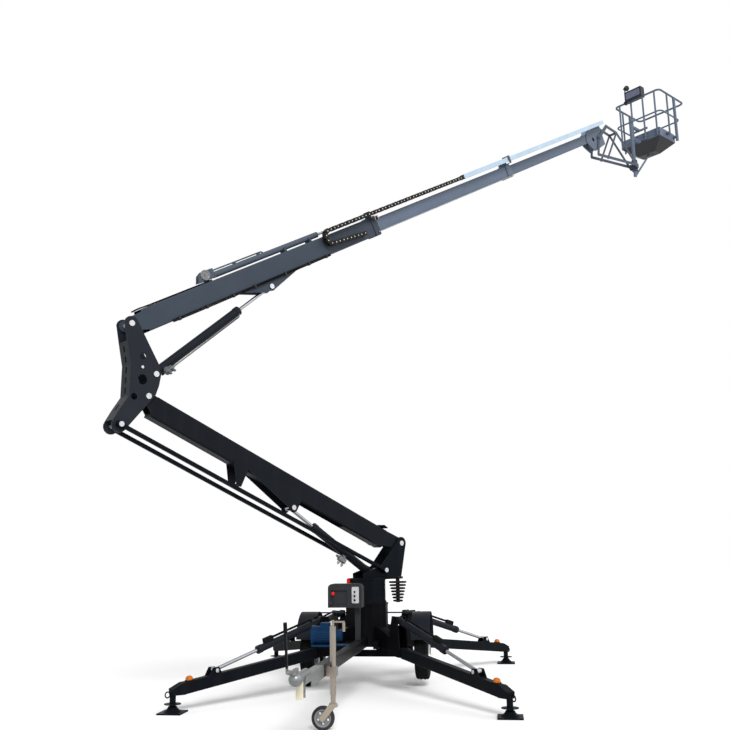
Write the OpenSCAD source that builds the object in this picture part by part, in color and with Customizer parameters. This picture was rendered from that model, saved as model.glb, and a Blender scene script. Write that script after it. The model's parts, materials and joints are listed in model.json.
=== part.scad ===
// Towable articulated boom lift on its outriggers, booms raised.
// +X runs along the booms towards the basket, +Z is up, the floor is z = 0.

/* [Placing] */
// slew axis along X in the part frame
slew_x = -2585; // [-4000:5:0]
// boom heading, turned from the trailer's forward direction
slew_deg = 139.3; // [0:0.1:180]

/* [Lower boom and linkage] */
// boom foot pivot, ahead of the slew axis
foot_x = 551; // [300:1:800]
// boom foot pivot height
foot_z = 1814; // [1500:1:2200]
// parallelogram offset, horizontal
link_x = 341; // [200:1:500]
// parallelogram offset, vertical
link_z = 358; // [200:1:500]
// pivot to pivot length of the lower boom
lower_len = 4246; // [3000:1:6000]
// lower boom angle above the horizontal
lower_deg = 22.9; // [-4:0.1:75]
// lower boom width
lower_w = 170; // [120:1:260]
// lower boom depth
lower_h = 254; // [180:1:400]
// top face above the pivot line
lower_top = 64; // [0:1:80]
// boom wall thickness
boom_t = 5.5; // [4:0.5:16]
// tie rod size, square
tie_w = 46; // [30:1:80]
// tie rod distance from the boom plane
tie_y = 143; // [110:1:200]
// lift cylinder pin on the lower boom, from the foot pivot along the boom
lower_lug_s = 1868; // [1200:1:2600]
// lift cylinder pin below the pivot line
lower_lug_h = 308; // [200:1:450]
// slot in the boom's underside over the lift cylinder
slot_w = 130; // [100:1:140]
// lift cylinder base pin on the turret, ahead of the slew axis
lower_base_x = 60; // [-200:1:300]
// lift cylinder base pin height
lower_base_z = 1415; // [1300:1:1600]

/* [Knuckle] */
// upper boom pivot behind the lower boom pivot
knee_x = -247; // [-400:1:0]
// upper boom pivot above the lower boom pivot
knee_z = 821; // [500:1:1200]
// upper cylinder base pin ahead of the lower boom pivot
knee_pin_x = 84; // [0:1:200]
// upper cylinder base pin above the lower boom pivot
knee_pin_z = 267; // [150:1:400]
// inner face of the knuckle and turret side plates from the boom plane
cheek_y = 95; // [80:1:140]
// side plate thickness
cheek_t = 17; // [8:1:30]

/* [Upper boom] */
// upper boom angle above the horizontal
upper_deg = 29.65; // [-12:0.05:72]
// boom axis below its pivot
upper_drop = 25; // [0:1:120]
// base section length from the pivot
base_end = 4400; // [3000:1:6000]
// base section width
base_w = 175; // [120:1:260]
// base section depth
base_h = 275; // [160:1:360]
// middle section's inner end from the pivot
mid_start = 3700; // [2500:1:4300]
// middle section's outer end from the pivot
mid_end = 8080; // [5000:1:9000]
// middle section width
mid_w = 145; // [100:1:220]
// middle section depth
mid_h = 208; // [120:1:300]
// inner section's inner end from the pivot
inner_start = 7430; // [5500:1:8000]
// inner section's outer end from the pivot
inner_end = 10980; // [8500:1:12000]
// inner section width
inner_w = 115; // [80:1:180]
// inner section depth
inner_h = 176; // [100:1:240]
// running gap at slide pads and turning faces
pad_gap = 0.3; // [0.2:0.1:1]
// telescoping section wall thickness
tele_t = 4.5; // [3:0.5:12]
// upper lift cylinder pin on the base section, from the pivot
upper_lug_s = 2113; // [1500:1:3000]
// upper lift cylinder pin below the pivot line
upper_lug_h = 244; // [180:1:400]

/* [Cylinders] */
// lower lift cylinder bore diameter outside
lower_barrel_d = 108; // [60:1:140]
// lower lift cylinder barrel length from its base pin
lower_barrel_l = 1150; // [800:1:1300]
// upper lift cylinder barrel diameter outside
upper_barrel_d = 112; // [60:1:140]
// upper lift cylinder barrel length from its base pin
upper_barrel_l = 1530; // [1000:1:1600]
// lower lift rod's inner end from the barrel's base pin
lower_rod_in = 500; // [300:5:560]
// upper lift rod's inner end from the barrel's base pin
upper_rod_in = 1000; // [700:5:1050]
// lift cylinder rod diameter
lift_rod_d = 45; // [25:1:80]
// telescope cylinder barrel diameter
tele_barrel_d = 80; // [40:1:100]
// telescope cylinder centre above the boom pivot line
tele_h = 172; // [140:1:220]
// telescope cylinder barrel, rear end from the pivot
tele_s0 = 1380; // [1000:1:2000]
// telescope cylinder barrel, front end from the pivot
tele_s1 = 3270; // [2500:1:4000]
// pin diameter at the main pivots
pin_d = 50; // [30:1:80]

/* [Energy chain] */
// link pitch
chain_pitch = 75; // [40:1:120]
// link depth
chain_h = 60; // [30:1:90]
// link width
chain_w = 68; // [30:1:100]
// chain centre plane from the boom plane, on the near side
chain_y = -142; // [-200:1:-100]
// upper run above the boom pivot line
chain_top = 162; // [120:1:240]
// bend radius
chain_r = 96; // [60:1:160]
// bend centre from the pivot
chain_s = 3371; // [2500:1:4000]
// links in the upper run
chain_top_n = 44; // [20:1:60]
// links in the lower run
chain_low_n = 9; // [4:1:30]
// carrier channel's outer end from the pivot
carrier_end = 11480; // [9000:1:12000]

/* [Basket] */
// top rail, boom side, ahead of the slew axis
rail_x0 = 7960; // [7500:5:9000]
// top rail depth along the boom
rail_l = 1000; // [600:5:1300]
// top rail width across the boom
rail_w = 1080; // [700:5:1600]
// top rail height
rail_z = 11305; // [9000:5:13000]
// cage height, floor to top rail
cage_h = 1030; // [900:5:1200]
// rail tube diameter
rail_d = 42; // [25:1:50]
// rail corner radius
rail_r = 90; // [50:5:200]
// floor depth along the boom
floor_l = 600; // [400:5:900]
// floor width across the boom
floor_w = 930; // [600:5:1400]
// toe board height
toe_h = 190; // [80:5:250]
// basket turning post, ahead of the slew axis
post_x = 7660; // [7200:5:7800]

/* [Trailer] */
// foot plate distance ahead of and behind the slew axis
pad_x = 2300; // [1500:5:3000]
// foot plate distance to each side
pad_y = 1820; // [1300:5:2400]
// pedestal radius to its eight corners
hub_r = 290; // [260:1:320]
// leg pivot radius from the slew axis
leg_r0 = 850; // [600:5:1100]
// leg pivot height
leg_z0 = 470; // [350:5:700]
// leg cylinder base pin radius
leg_r1 = 800; // [600:5:1000]
// leg cylinder base pin height
leg_z1 = 850; // [700:5:1000]
// leg rod pin radius
leg_r2 = 2408; // [1800:5:2700]
// leg rod pin above the leg's top
leg_pin_h = 43; // [30:1:120]
// rod that shows between barrel and rod pin
leg_rod_out = 630; // [300:5:900]
// leg beam width
leg_w = 110; // [70:1:160]
// leg beam depth
leg_h = 130; // [80:1:200]
// foot plate side
pad_w = 265; // [180:5:400]
// axle ahead of the slew axis
axle_x = 100; // [-400:5:500]
// axle height with the tyres off the floor
axle_z = 398; // [330:1:500]
// wheel centre from the trailer's middle
wheel_y = 744; // [600:1:900]
// tyre diameter
tyre_d = 645; // [500:1:750]
// tyre width
tyre_w = 195; // [145:1:245]
// rim diameter
rim_d = 375; // [300:1:420]
// coupling head ahead of the slew axis
head_x = 4250; // [3000:5:5000]
// drawbar centre height
bar_z = 560; // [400:5:700]
// jockey tube ahead of the slew axis
jockey_x = 3100; // [2500:5:3600]
// jockey tube to the side of the drawbar
jockey_y = 112; // [80:1:200]
// jockey wheel diameter
jockey_d = 226; // [160:1:300]

/* [Hidden] */
round_fn = 48;
k1 = [foot_x - lower_len * cos(lower_deg), foot_z + lower_len * sin(lower_deg)];
t1 = [foot_x, foot_z];
t2 = [foot_x - link_x, foot_z - link_z];
k2 = [k1[0] - link_x, k1[1] - link_z];
k3 = [k1[0] + knee_x, k1[1] + knee_z];
k4 = [k1[0] + knee_pin_x, k1[1] + knee_pin_z];
c0 = [lower_base_x, lower_base_z];
p1 = [foot_x - lower_lug_s * cos(lower_deg) - lower_lug_h * sin(lower_deg),
      foot_z + lower_lug_s * sin(lower_deg) - lower_lug_h * cos(lower_deg)];
p2 = [k3[0] + upper_lug_s * cos(upper_deg) + upper_lug_h * sin(upper_deg),
      k3[1] + upper_lug_s * sin(upper_deg) - upper_lug_h * cos(upper_deg)];
base_top = base_h / 2 - upper_drop;
base_bot = -base_h / 2 - upper_drop;
lower_bot = lower_top - lower_h;
cheek_out = cheek_y + cheek_t;
leg_deg = atan2(pad_y, pad_x);
pad_r = norm([pad_x, pad_y]);
// leg: fall towards the foot plate, height of its axis at a radius, and its rod pin
leg_fall = atan2(leg_z0 - 240, pad_r - 73 - leg_r0);
function leg_axis_z(r) = leg_z0 - (r - leg_r0) * tan(leg_fall);
leg_z2 = leg_axis_z(leg_r2) + leg_h / 2 + leg_pin_h;
floor_z = rail_z - cage_h;
pan_h = 205;
// lift cylinder lugs: inner face from the boom plane, and thickness
lug_y = 64;
lug_t = 14;
tip_s = inner_end;
tip = [k3[0] + tip_s * cos(upper_deg), k3[1] + tip_s * sin(upper_deg)];
chain_low = chain_top - 2 * chain_r;
// extension rope, just outside the base section's collar
rope_y = -base_w / 2 - 25;
rope_z = base_bot + 38;
// underside of the side members, top of the pedestal and its top plate
beam_z = 490;
hub_top = 1010;
drum_r = 268;
deck_z = 1330;
deck_t = 24;
// top of the plate that carries the side plates, with the gap to what lies on it
deck_top = deck_z + 4 + deck_t + pad_gap;
// cable coil: centre, foot, turns, their pitch, widest radius and cable diameter
coil_at = [250, -345];
coil_z = 1040;
coil_n = 7;
coil_pitch = 40;
coil_r = 108;
coil_d = 24;
ring_t = 24;
// corner signs of the four outriggers
corners = [[1, 1], [1, -1], [-1, 1], [-1, -1]];
steel_dark = [0.22, 0.25, 0.30];
steel_black = [0.09, 0.10, 0.11];
zinc = [0.72, 0.74, 0.76];
chrome = [0.85, 0.87, 0.90];

// frames
module part() translate([slew_x, 0, 0]) children();
module trailer() part() rotate([0, 0, -slew_deg]) children();
module member(p, deg) part() translate([p[0], 0, p[1]]) rotate([0, -deg, 0]) children();
module radial(sx, sy) trailer() rotate([0, 0, atan2(sy * pad_y, sx * pad_x)]) children();

// a profile in x-z, spread over y
module slab(y0, y1) translate([0, y1, 0]) rotate([90, 0, 0]) linear_extrude(y1 - y0) children();
// a pair of slabs, mirrored in the boom plane
module slabs(y0, y1) {
  slab(y0, y1) children();
  slab(-y1, -y0) children();
}
// a section in y-z, run along x
module run(x0, x1) translate([x0, 0, 0]) rotate([90, 0, 90]) linear_extrude(x1 - x0) children();
module disc_y(x, z, y0, y1, r) translate([x, y0, z]) rotate([-90, 0, 0])
  cylinder(r = r, h = y1 - y0, $fn = round_fn);
module rod_x(x0, x1, r) translate([x0, 0, 0]) rotate([0, 90, 0]) cylinder(r = r, h = x1 - x0, $fn = round_fn);
// an eight-sided column with flats ahead, behind and at the sides
module octagon(r, h) rotate([0, 0, 22.5]) cylinder(r = r, h = h, $fn = 8);
// a straight tube between two points
module strut(a, b, d) {
  v = b - a;
  translate(a) rotate([0, acos(v[2] / norm(v)), atan2(v[1], v[0])]) cylinder(d = d, h = norm(v), $fn = 24);
}
// a rectangle with round corners, centred
module rounded(w, h, r) {
  square([w - 2 * r, h], center = true);
  square([w, h - 2 * r], center = true);
  for (sx = [-1, 1], sy = [-1, 1]) translate([sx * (w / 2 - r), sy * (h / 2 - r)]) circle(r = r, $fn = 32);
}
module tube_section(w, h, r, t) difference() {
  rounded(w, h, r);
  rounded(w - 2 * t, h - 2 * t, r - t);
}
// a bar with round ends between two points of a profile
module bar2d(a, b, w) {
  translate(a) rotate(atan2(b[1] - a[1], b[0] - a[0])) {
    translate([0, -w / 2]) square([norm(b - a), w]);
    circle(d = w, $fn = 32);
    translate([norm(b - a), 0]) circle(d = w, $fn = 32);
  }
}
// a cylinder barrel along x from its base pin, open at its rod end
module barrel(l, d, rod_d, eye_w) {
  difference() {
    union() {
      rod_x(eye_w * 0.6, l, d / 2);
      rod_x(l - 60, l, d / 2 + 5);
      disc_y(0, 0, -eye_w / 2, eye_w / 2, d * 0.52);
      translate([0, -eye_w / 2, -d * 0.3]) cube([eye_w, eye_w, d * 0.6]);
    }
    disc_y(0, 0, -eye_w, eye_w, pin_d / 2 + 0.3);
    rod_x(eye_w * 0.6 + 30, l - 45, d / 2 - 8);
    rod_x(l - 80, l + 1, rod_d / 2 + 0.5);
  }
}
// a rod along x that ends in an eye at its pin
module rod_eye(x0, l, d, eye_r, eye_w) {
  rod_x(x0, l - eye_r * 0.7, d / 2);
  disc_y(l, 0, -eye_w / 2, eye_w / 2, eye_r);
}

// trailer
module chassis() color(steel_black) {
  trailer() {
    difference() {
      union() {
        translate([0, 0, beam_z]) octagon(hub_r, hub_top - beam_z);
        translate([0, 0, hub_top]) octagon(hub_r + 8, ring_t);
      }
      translate([0, 0, beam_z - 1]) octagon(hub_r - 14, hub_top - beam_z);
      cylinder(r = drum_r - 60, h = 1200, $fn = 64);
    }
    for (sy = [-1, 1]) translate([0, sy * 180, 0]) cross_beam();
  }
  for (c = corners) radial(c[0], c[1]) leg_bracket();
}
// side member over the axle
module cross_beam() translate([-330, -30, beam_z]) cube([860, 60, 90]);
// arched arm and its pair of pin plates
module leg_bracket() {
  arch = [for (i = [0 : 8]) [244 + i * 60, 600 + 150 * cos(i * 11.25)]];
  difference() {
    slab(-55, 55) polygon(concat([[244, 520]], arch, [[724, 440]]));
    slab(-45, 45) polygon([[260, 545], [330, 700], [500, 640], [640, 590], [700, 560], [700, 470]]);
  }
  slabs(54, 72) polygon([[640, 430], [895, 410], [905, 500], [860, 900], [745, 900], [690, 720]]);
  slab(-55, 55) polygon([[690, 590], [740, 590], [740, 780], [715, 780]]);
  for (p = [[leg_r0, leg_z0], [leg_r1, leg_z1]]) disc_y(p[0], p[1], -84, 84, pin_d / 2);
}
module axle() color(steel_black) trailer() translate([axle_x, 0, axle_z]) {
  translate([-40, -560, -40]) cube([80, 1120, 80]);
  for (s = [-1, 1]) {
    translate([-30, s * 180 - 45, 40]) cube([60, 90, beam_z - axle_z - 40]);
    disc_y(0, 0, s > 0 ? 560 : -758, s > 0 ? 758 : -560, 28);
    disc_y(0, 0, s > 0 ? 560 : -610, s > 0 ? 610 : -560, 110);
  }
}
module mudguards() color(steel_black) trailer() for (s = [-1, 1]) {
  translate([axle_x, s * wheel_y, 548]) rotate([90, 0, 0]) rotate([0, 0, 8])
    translate([0, 0, -118]) difference() {
      cylinder(r = 378, h = 236, $fn = 72);
      translate([0, 0, -1]) cylinder(r = 372, h = 238, $fn = 72);
      translate([-500, -1000, -1]) cube([1000, 1000, 238]);
    }
  difference() {
    translate([axle_x - 20, s > 0 ? 0 : -700, 904]) cube([40, 700, 16]);
    octagon(hub_r, 1200);
  }
}
module tyre(s) color(steel_black) trailer() translate([axle_x, s * wheel_y, axle_z]) rotate([90, 0, 0])
  rotate_extrude($fn = 96) translate([tyre_d / 2 - 68, 0]) difference() {
    union() {
      rounded(136, tyre_w, 42);
      for (y = [-1, 1]) translate([-68, y > 0 ? tyre_w / 2 - 28 : 12 - tyre_w / 2]) square([60, 16]);
    }
    translate([-70, -tyre_w / 2 + 28]) square([112, tyre_w - 56]);
    for (g = [-45, -15, 15, 45]) translate([62, g - 3]) square([20, 6]);
  }
module rim(s) color(zinc) trailer() translate([axle_x, s * wheel_y, axle_z]) rotate([s * -90, 0, 0]) {
  difference() {
    rotate_extrude($fn = 72) polygon([[60, 30], [120, 44], [rim_d / 2 - 26, 20], [rim_d / 2 - 26, -80],
      [rim_d / 2 - 1, -tyre_w / 2 + 12], [rim_d / 2 - 1, tyre_w / 2 - 12], [rim_d / 2 - 8, tyre_w / 2 - 12],
      [rim_d / 2 - 18, 34], [120, 52], [60, 38]]);
    for (i = [0 : 9]) rotate([0, 0, i * 36]) translate([148, 0, 0]) cylinder(r = 13, h = 80, $fn = 24);
  }
  difference() {
    translate([0, 0, -20]) cylinder(r = 61, h = 78, $fn = 48);
    translate([0, 0, -21]) cylinder(r = 29, h = 40, $fn = 48);
  }
  for (i = [0 : 4]) rotate([0, 0, i * 72 + 18]) translate([88, 0, 38]) cylinder(r = 12, h = 22, $fn = 6);
}
module drawbar() color([0.55, 0.57, 0.58]) trailer() translate([0, 0, bar_z]) difference() {
  run(200, head_x - 420) tube_section(100, 120, 12, 6);
  translate([0, 0, -bar_z]) octagon(hub_r, 1200);
}
module coupling() color(zinc) trailer() translate([head_x, 0, bar_z + 60]) {
  difference() {
    union() {
      rod_x(-420, -60, 45);
      translate([-420, -55, -62]) cube([250, 110, 60]);
      rotate([0, 90, 0]) translate([0, 0, -60]) cylinder(r1 = 45, r2 = 62, h = 60, $fn = 48);
      sphere(r = 62, $fn = 48);
      translate([-60, -14, 40]) cube([120, 28, 52]);
    }
    sphere(r = 26, $fn = 48);
    translate([0, 0, -80]) cylinder(r = 26, h = 80, $fn = 48);
  }
  slab(-78, -60) bar2d([30, 60], [95, 400], 30);
  translate([95, -69, 390]) rotate([0, 11, 0]) cylinder(r = 17, h = 90, $fn = 24);
  disc_y(30, 60, -62, -13, 20);
  translate([-300, 0, -190]) cylinder(r = 22, h = 130, $fn = 24);
}
module jockey_tube() color(zinc) trailer() translate([jockey_x, jockey_y, 0]) {
  translate([0, 0, 330]) cylinder(r = 30, h = 640, $fn = 40);
  translate([0, 0, 250]) cylinder(r = 25, h = 640, $fn = 40);
  translate([0, 0, 970]) cylinder(r = 14, h = 60, $fn = 24);
  translate([-10, -10, 1005]) cube([20, 130, 16]);
  translate([0, 110, 920]) cylinder(r = 14, h = 85, $fn = 24);
  difference() {
    translate([-48, -62, 500]) cube([96, 104, 90]);
    translate([0, 0, 490]) cylinder(r = 30, h = 110, $fn = 40);
  }
}
module jockey_fork() color([0.8, 0.76, 0.62]) trailer() translate([jockey_x, jockey_y, 0]) {
  translate([0, 0, 218]) cylinder(r = 40, h = 32 - pad_gap, $fn = 40);
  for (s = [-1, 1]) translate([s * 40 - 4, 0, 0]) rotate([90, 0, 90]) linear_extrude(8) difference() {
    union() {
      polygon([[40, 240], [-40, 240], [-128, jockey_d / 2], [-72, jockey_d / 2 - 10]]);
      translate([-100, jockey_d / 2]) circle(r = 28, $fn = 32);
    }
    translate([-100, jockey_d / 2]) circle(r = 5, $fn = 32);
  }
  translate([-44, -40, 216]) cube([88, 80, 14]);
  translate([-46, -100, jockey_d / 2]) rotate([0, 90, 0]) cylinder(r = 10, h = 92, $fn = 32);
}
module jockey_wheel() color(steel_black) trailer() translate([jockey_x, jockey_y - 100, jockey_d / 2])
  rotate([0, 90, 0]) difference() {
    rotate_extrude($fn = 72) {
      translate([jockey_d / 2 - 24, 0]) rounded(48, 58, 16);
      translate([22, -10]) square([jockey_d / 2 - 60, 20]);
      translate([10.3, -28]) square([26, 56]);
    }
    for (i = [0 : 4]) rotate([0, 0, i * 72]) translate([52, 0, -20]) cylinder(r = 12, h = 40, $fn = 24);
  }
module motor() color([0.10, 0.28, 0.55]) trailer() translate([980, -400, 700]) {
  rotate([90, 0, 0]) difference() {
    translate([0, 0, -150]) cylinder(r = 112, h = 250, $fn = 64);
    for (i = [0 : 23]) rotate([0, 0, i * 15]) translate([104, -5, -90]) cube([20, 10, 170]);
  }
  rotate([90, 0, 0]) translate([0, 0, 100]) cylinder(r = 118, h = 40, $fn = 64);
  rotate([90, 0, 0]) translate([0, 0, -230]) cylinder(r = 60, h = 80, $fn = 48);
  translate([-60, -30, 95]) cube([120, 110, 55]);
  translate([-120, -130, -125]) cube([240, 250, 20]);
  translate([-40, 119, -125]) cube([80, 231, 20]);
}
module ground_box() color([0.25, 0.26, 0.28]) trailer() {
  translate([660, -45, bar_z + 60]) cube([80, 60, 400]);
  translate([650, -370, 1018]) difference() {
    union() {
      cube([200, 430, 240]);
      translate([0, 0, 240]) rotate([90, 0, 90]) linear_extrude(200) polygon([[0, 0], [430, 0],
        for (i = [0 : 6]) [430 - 60 * (1 - cos(i * 15)), 50 * sin(i * 15)],
        for (i = [0 : 6]) [60 * (1 - sin(i * 15)), 50 * cos(i * 15)]]);
    }
    translate([180, 40, 30]) cube([30, 200, 180]);
  }
  translate([850, -330, 1078]) rotate([0, 90, 0]) cylinder(r = 26, h = 34, $fn = 32);
}

// outriggers, drawn in the leg's own radial plane
module outrigger_legs() color(steel_dark) for (c = corners) radial(c[0], c[1]) leg(c[0], c[1]);
module leg(sx, sy) {
  difference() {
    union() {
      translate([leg_r0, 0, leg_z0]) rotate([0, leg_fall, 0]) {
        run(60, 1985) tube_section(leg_w - 8, leg_h, 14, 6);
        slab(-50, 50) polygon([[0, -48], [120, -64], [120, 64], [0, 48]]);
        disc_y(0, 0, -50, 50, 48);
        slab(-50, 50) polygon([[1960, -64], [1985, -64], [2120, -44], [2120, 24], [1985, 64], [1960, 64]]);
      }
      translate([pad_r, 0, 60]) cylinder(r = 34, h = 150, $fn = 40);
      slabs(40, 52) polygon([[leg_r2 - 120, leg_axis_z(leg_r2 - 120) - 20],
        [leg_r2 + 130, leg_axis_z(leg_r2 + 130) - 7], [leg_r2 + 40, leg_z2 + 34],
        [leg_r2 - 40, leg_z2 + 34]]);
    }
    disc_y(leg_r0, leg_z0, -100, 100, pin_d / 2);
  }
  translate([pad_r, 0, 0]) {
    rotate([0, 0, -atan2(sy * pad_y, sx * pad_x)]) translate([-pad_w / 2, -pad_w / 2, 0])
      cube([pad_w, pad_w, 16]);
    rotate_extrude($fn = 48) polygon([[0, 14], [105, 14], [60, 48], [46, 72], [0, 72]]);
    translate([0, 0, 92]) cylinder(r = 92, h = 8, $fn = 48);
  }
  translate([pad_r + 66, 0, 196]) rotate([90, 0, 0]) rotate_extrude($fn = 40) translate([30, 0])
    circle(r = 7, $fn = 20);
  disc_y(leg_r2, leg_z2, -70, 70, 20);
}
leg_len = norm([leg_r2 - leg_r1, leg_z2 - leg_z1]);
leg_cyl_deg = atan2(leg_z1 - leg_z2, leg_r2 - leg_r1);
module leg_cylinder() for (c = corners) radial(c[0], c[1]) translate([leg_r1, 0, leg_z1])
  rotate([0, leg_cyl_deg, 0]) children();
module outrigger_barrels() color(steel_dark) leg_cylinder() difference() {
  barrel(leg_len - leg_rod_out, 88, 42, 76);
  disc_y(0, 0, -80, 80, pin_d / 2);
}
module outrigger_rods() color(chrome) leg_cylinder() difference() {
  rod_eye(leg_len - leg_rod_out - 80, leg_len, 42, 34, 60);
  disc_y(leg_len, 0, -80, 80, 20 + pad_gap);
}

// turret
module turret() color(steel_dark) part() {
  difference() {
    union() {
      translate([0, 0, hub_top + ring_t + 8]) octagon(drum_r, deck_z - hub_top - ring_t - 8);
      translate([0, 0, deck_z]) octagon(drum_r + 6, deck_t);
      translate([0, -cheek_out - 20, deck_z + 4]) cube([545, 2 * cheek_out + 40, deck_t]);
    }
    translate([0, 0, hub_top]) octagon(drum_r - 18, deck_z - hub_top);
    translate([0, 0, hub_top]) cylinder(r = 80, h = 400, $fn = 48);
  }
  translate([0, 0, hub_top + ring_t + pad_gap]) difference() {
    cylinder(r = drum_r - 6, h = 26, $fn = 64);
    translate([0, 0, -1]) cylinder(r = drum_r - 50, h = 40, $fn = 64);
  }
  slabs(cheek_y, cheek_out) difference() {
    union() {
      polygon([[-150, 1350], [535, 1350], [t1[0] + 82, t1[1] - 12], [t1[0] - 74, t1[1] + 30],
        [t2[0] - 40, t2[1] + 52], [-150, 1420]]);
      translate(t1) circle(r = 84, $fn = 48);
      translate(t2) circle(r = 62, $fn = 48);
    }
    translate(t1) circle(r = pin_d / 2 + 0.3, $fn = 48);
    translate(t2) circle(r = pin_d / 2 + 0.3, $fn = 48);
  }
  slab(-cheek_y, cheek_y) polygon([[440, 1350], [525, 1350], [t1[0] + 70, 1690], [t1[0] + 58, 1690]]);
  slabs(lug_y, lug_y + lug_t) difference() {
    union() {
      polygon([[-60, 1350], [180, 1350], [c0[0] + 44, c0[1]], [c0[0] - 44, c0[1]]]);
      translate(c0) circle(r = 44, $fn = 40);
    }
    translate(c0) circle(r = pin_d / 2 + 0.3, $fn = 40);
  }
}
// a through pin with a head on each side
module pivot_pin(p, half, head) {
  disc_y(p[0], p[1], -half, half, pin_d / 2);
  for (s = [-1, 1]) disc_y(p[0], p[1], s > 0 ? half : -half - 12, s > 0 ? half + 12 : -half, head);
}
module turret_pins() color(zinc) part() {
  pivot_pin(t1, cheek_out, 34);
  pivot_pin(t2, tie_y + tie_w / 2 + 2, 30);
  pivot_pin(c0, lug_y + lug_t + 2, 30);
}
// turns of the slewing cable round a post beside the drum, wide at the top
module cable_coil() color(steel_black) part() translate([coil_at[0], coil_at[1], 0]) {
  rotate_extrude($fn = 72) {
    translate([0, coil_z]) square([26, deck_top + 10 - coil_z]);
    for (i = [0 : coil_n - 1]) translate([0, deck_z - 30 - i * coil_pitch]) {
      translate([20, -4]) square([coil_r - 20 - i * 9, 8]);
      translate([coil_r - i * 9, 0]) circle(r = coil_d / 2, $fn = 24);
    }
  }
  translate([-45, -60, deck_top]) cube([90, 56 - coil_at[1] - cheek_out, 14]);
}

// lower boom, drawn from the knuckle pivot down to the foot pivot
module lower_boom() color(steel_dark) member(k1, -lower_deg) {
  lug_x = lower_len - lower_lug_s;
  difference() {
    translate([0, 0, (lower_top + lower_bot) / 2]) run(130, lower_len - 300)
      tube_section(lower_w, lower_h, 24, boom_t);
    translate([lower_len - 1960, -slot_w / 2, lower_bot - 1]) cube([960, slot_w, boom_t + 2]);
  }
  slabs(lower_w / 2 - 20, lower_w / 2) difference() {
    union() {
      polygon([[0, 56], [60, 56], [330, lower_top - 24], [330, lower_bot + 24], [150, lower_bot + 24],
        [-10, -56]]);
      circle(r = 56, $fn = 48);
      polygon([[lower_len - 620, lower_top - 24], [lower_len - 160, lower_top - 5], [lower_len, 62],
        [lower_len + 30, -54], [lower_len - 380, lower_bot], [lower_len - 620, lower_bot + 24]]);
      translate([lower_len, 0]) circle(r = 62, $fn = 48);
    }
    circle(r = pin_d / 2 + 0.3, $fn = 48);
    translate([lower_len, 0]) circle(r = pin_d / 2 + 0.3, $fn = 48);
  }
  for (x = [130, lower_len - 310]) translate([x, -lower_w / 2 + 4, lower_bot + 4])
    cube([10, lower_w - 8, lower_h - 8]);
  slabs(lower_w / 2 - 2, lower_w / 2 + 12) difference() {
    union() {
      polygon([[lug_x - 880, lower_bot + 40], [lug_x - 500, -110], [lug_x - 80, -90],
        [lug_x + 80, lower_bot + 60], [lug_x + 62, -lower_lug_h], [lug_x - 62, -lower_lug_h - 30]]);
      translate([lug_x, -lower_lug_h]) circle(r = 62, $fn = 40);
    }
    translate([lug_x, -lower_lug_h]) circle(r = 25.3, $fn = 40);
  }
  for (s = [-1, 1]) difference() {
    disc_y(lug_x, -lower_lug_h, s > 0 ? 46 : -lower_w / 2 - 1, s > 0 ? lower_w / 2 + 1 : -46, 44);
    disc_y(lug_x, -lower_lug_h, -200, 200, 25.3);
  }
  slabs(lower_w / 2 - 2, lower_w / 2 + 10) polygon([[1330, lower_bot + 50], [1570, lower_bot + 50],
    [1560, lower_bot - 215], [1490, lower_bot - 215]]);
  slab(-lower_w / 2 - 4, lower_w / 2 + 4) polygon([[1495, lower_bot - 211], [1555, lower_bot - 211],
    [1555, lower_bot - 197], [1495, lower_bot - 197]]);
  translate([lower_len - 390, -30, lower_top - 3]) cube([60, 60, 45]);
  translate([lower_len - 396, -128, lower_top + 24]) rotate([0, 8, 0]) cube([72, 256, 12]);
}
module lower_pin() color(zinc) member(k1, -lower_deg) {
  lug_x = lower_len - lower_lug_s;
  for (s = [-1, 1]) {
    disc_y(lug_x, -lower_lug_h, s > 0 ? 46 : -lower_w / 2 - 12, s > 0 ? lower_w / 2 + 12 : -46, 25);
    disc_y(lug_x, -lower_lug_h, s > 0 ? lower_w / 2 + 12 : -lower_w / 2 - 22,
      s > 0 ? lower_w / 2 + 22 : -lower_w / 2 - 12, 32);
  }
}
module tie_rods() color(steel_dark) member(k2, -lower_deg) for (s = [-1, 1]) translate([0, s * tie_y, 0]) {
  difference() {
    union() {
      run(30, lower_len - 30) tube_section(tie_w, tie_w, 8, 5);
      for (x = [0, lower_len]) {
        disc_y(x, 0, -tie_w / 2, tie_w / 2, 38);
        slab(-tie_w / 2, tie_w / 2) translate([x, 0]) square([90, tie_w], center = true);
      }
    }
    for (x = [0, lower_len]) disc_y(x, 0, -60, 60, pin_d / 2 + 0.3);
  }
}
module lower_barrel() color(steel_dark) member(c0, atan2(p1[1] - c0[1], p1[0] - c0[0]))
  barrel(lower_barrel_l, lower_barrel_d, lift_rod_d, 92);
module lower_rod() color(chrome) member(c0, atan2(p1[1] - c0[1], p1[0] - c0[0]))
  rod_eye(lower_rod_in, norm(p1 - c0), lift_rod_d, 40, 80);

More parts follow.
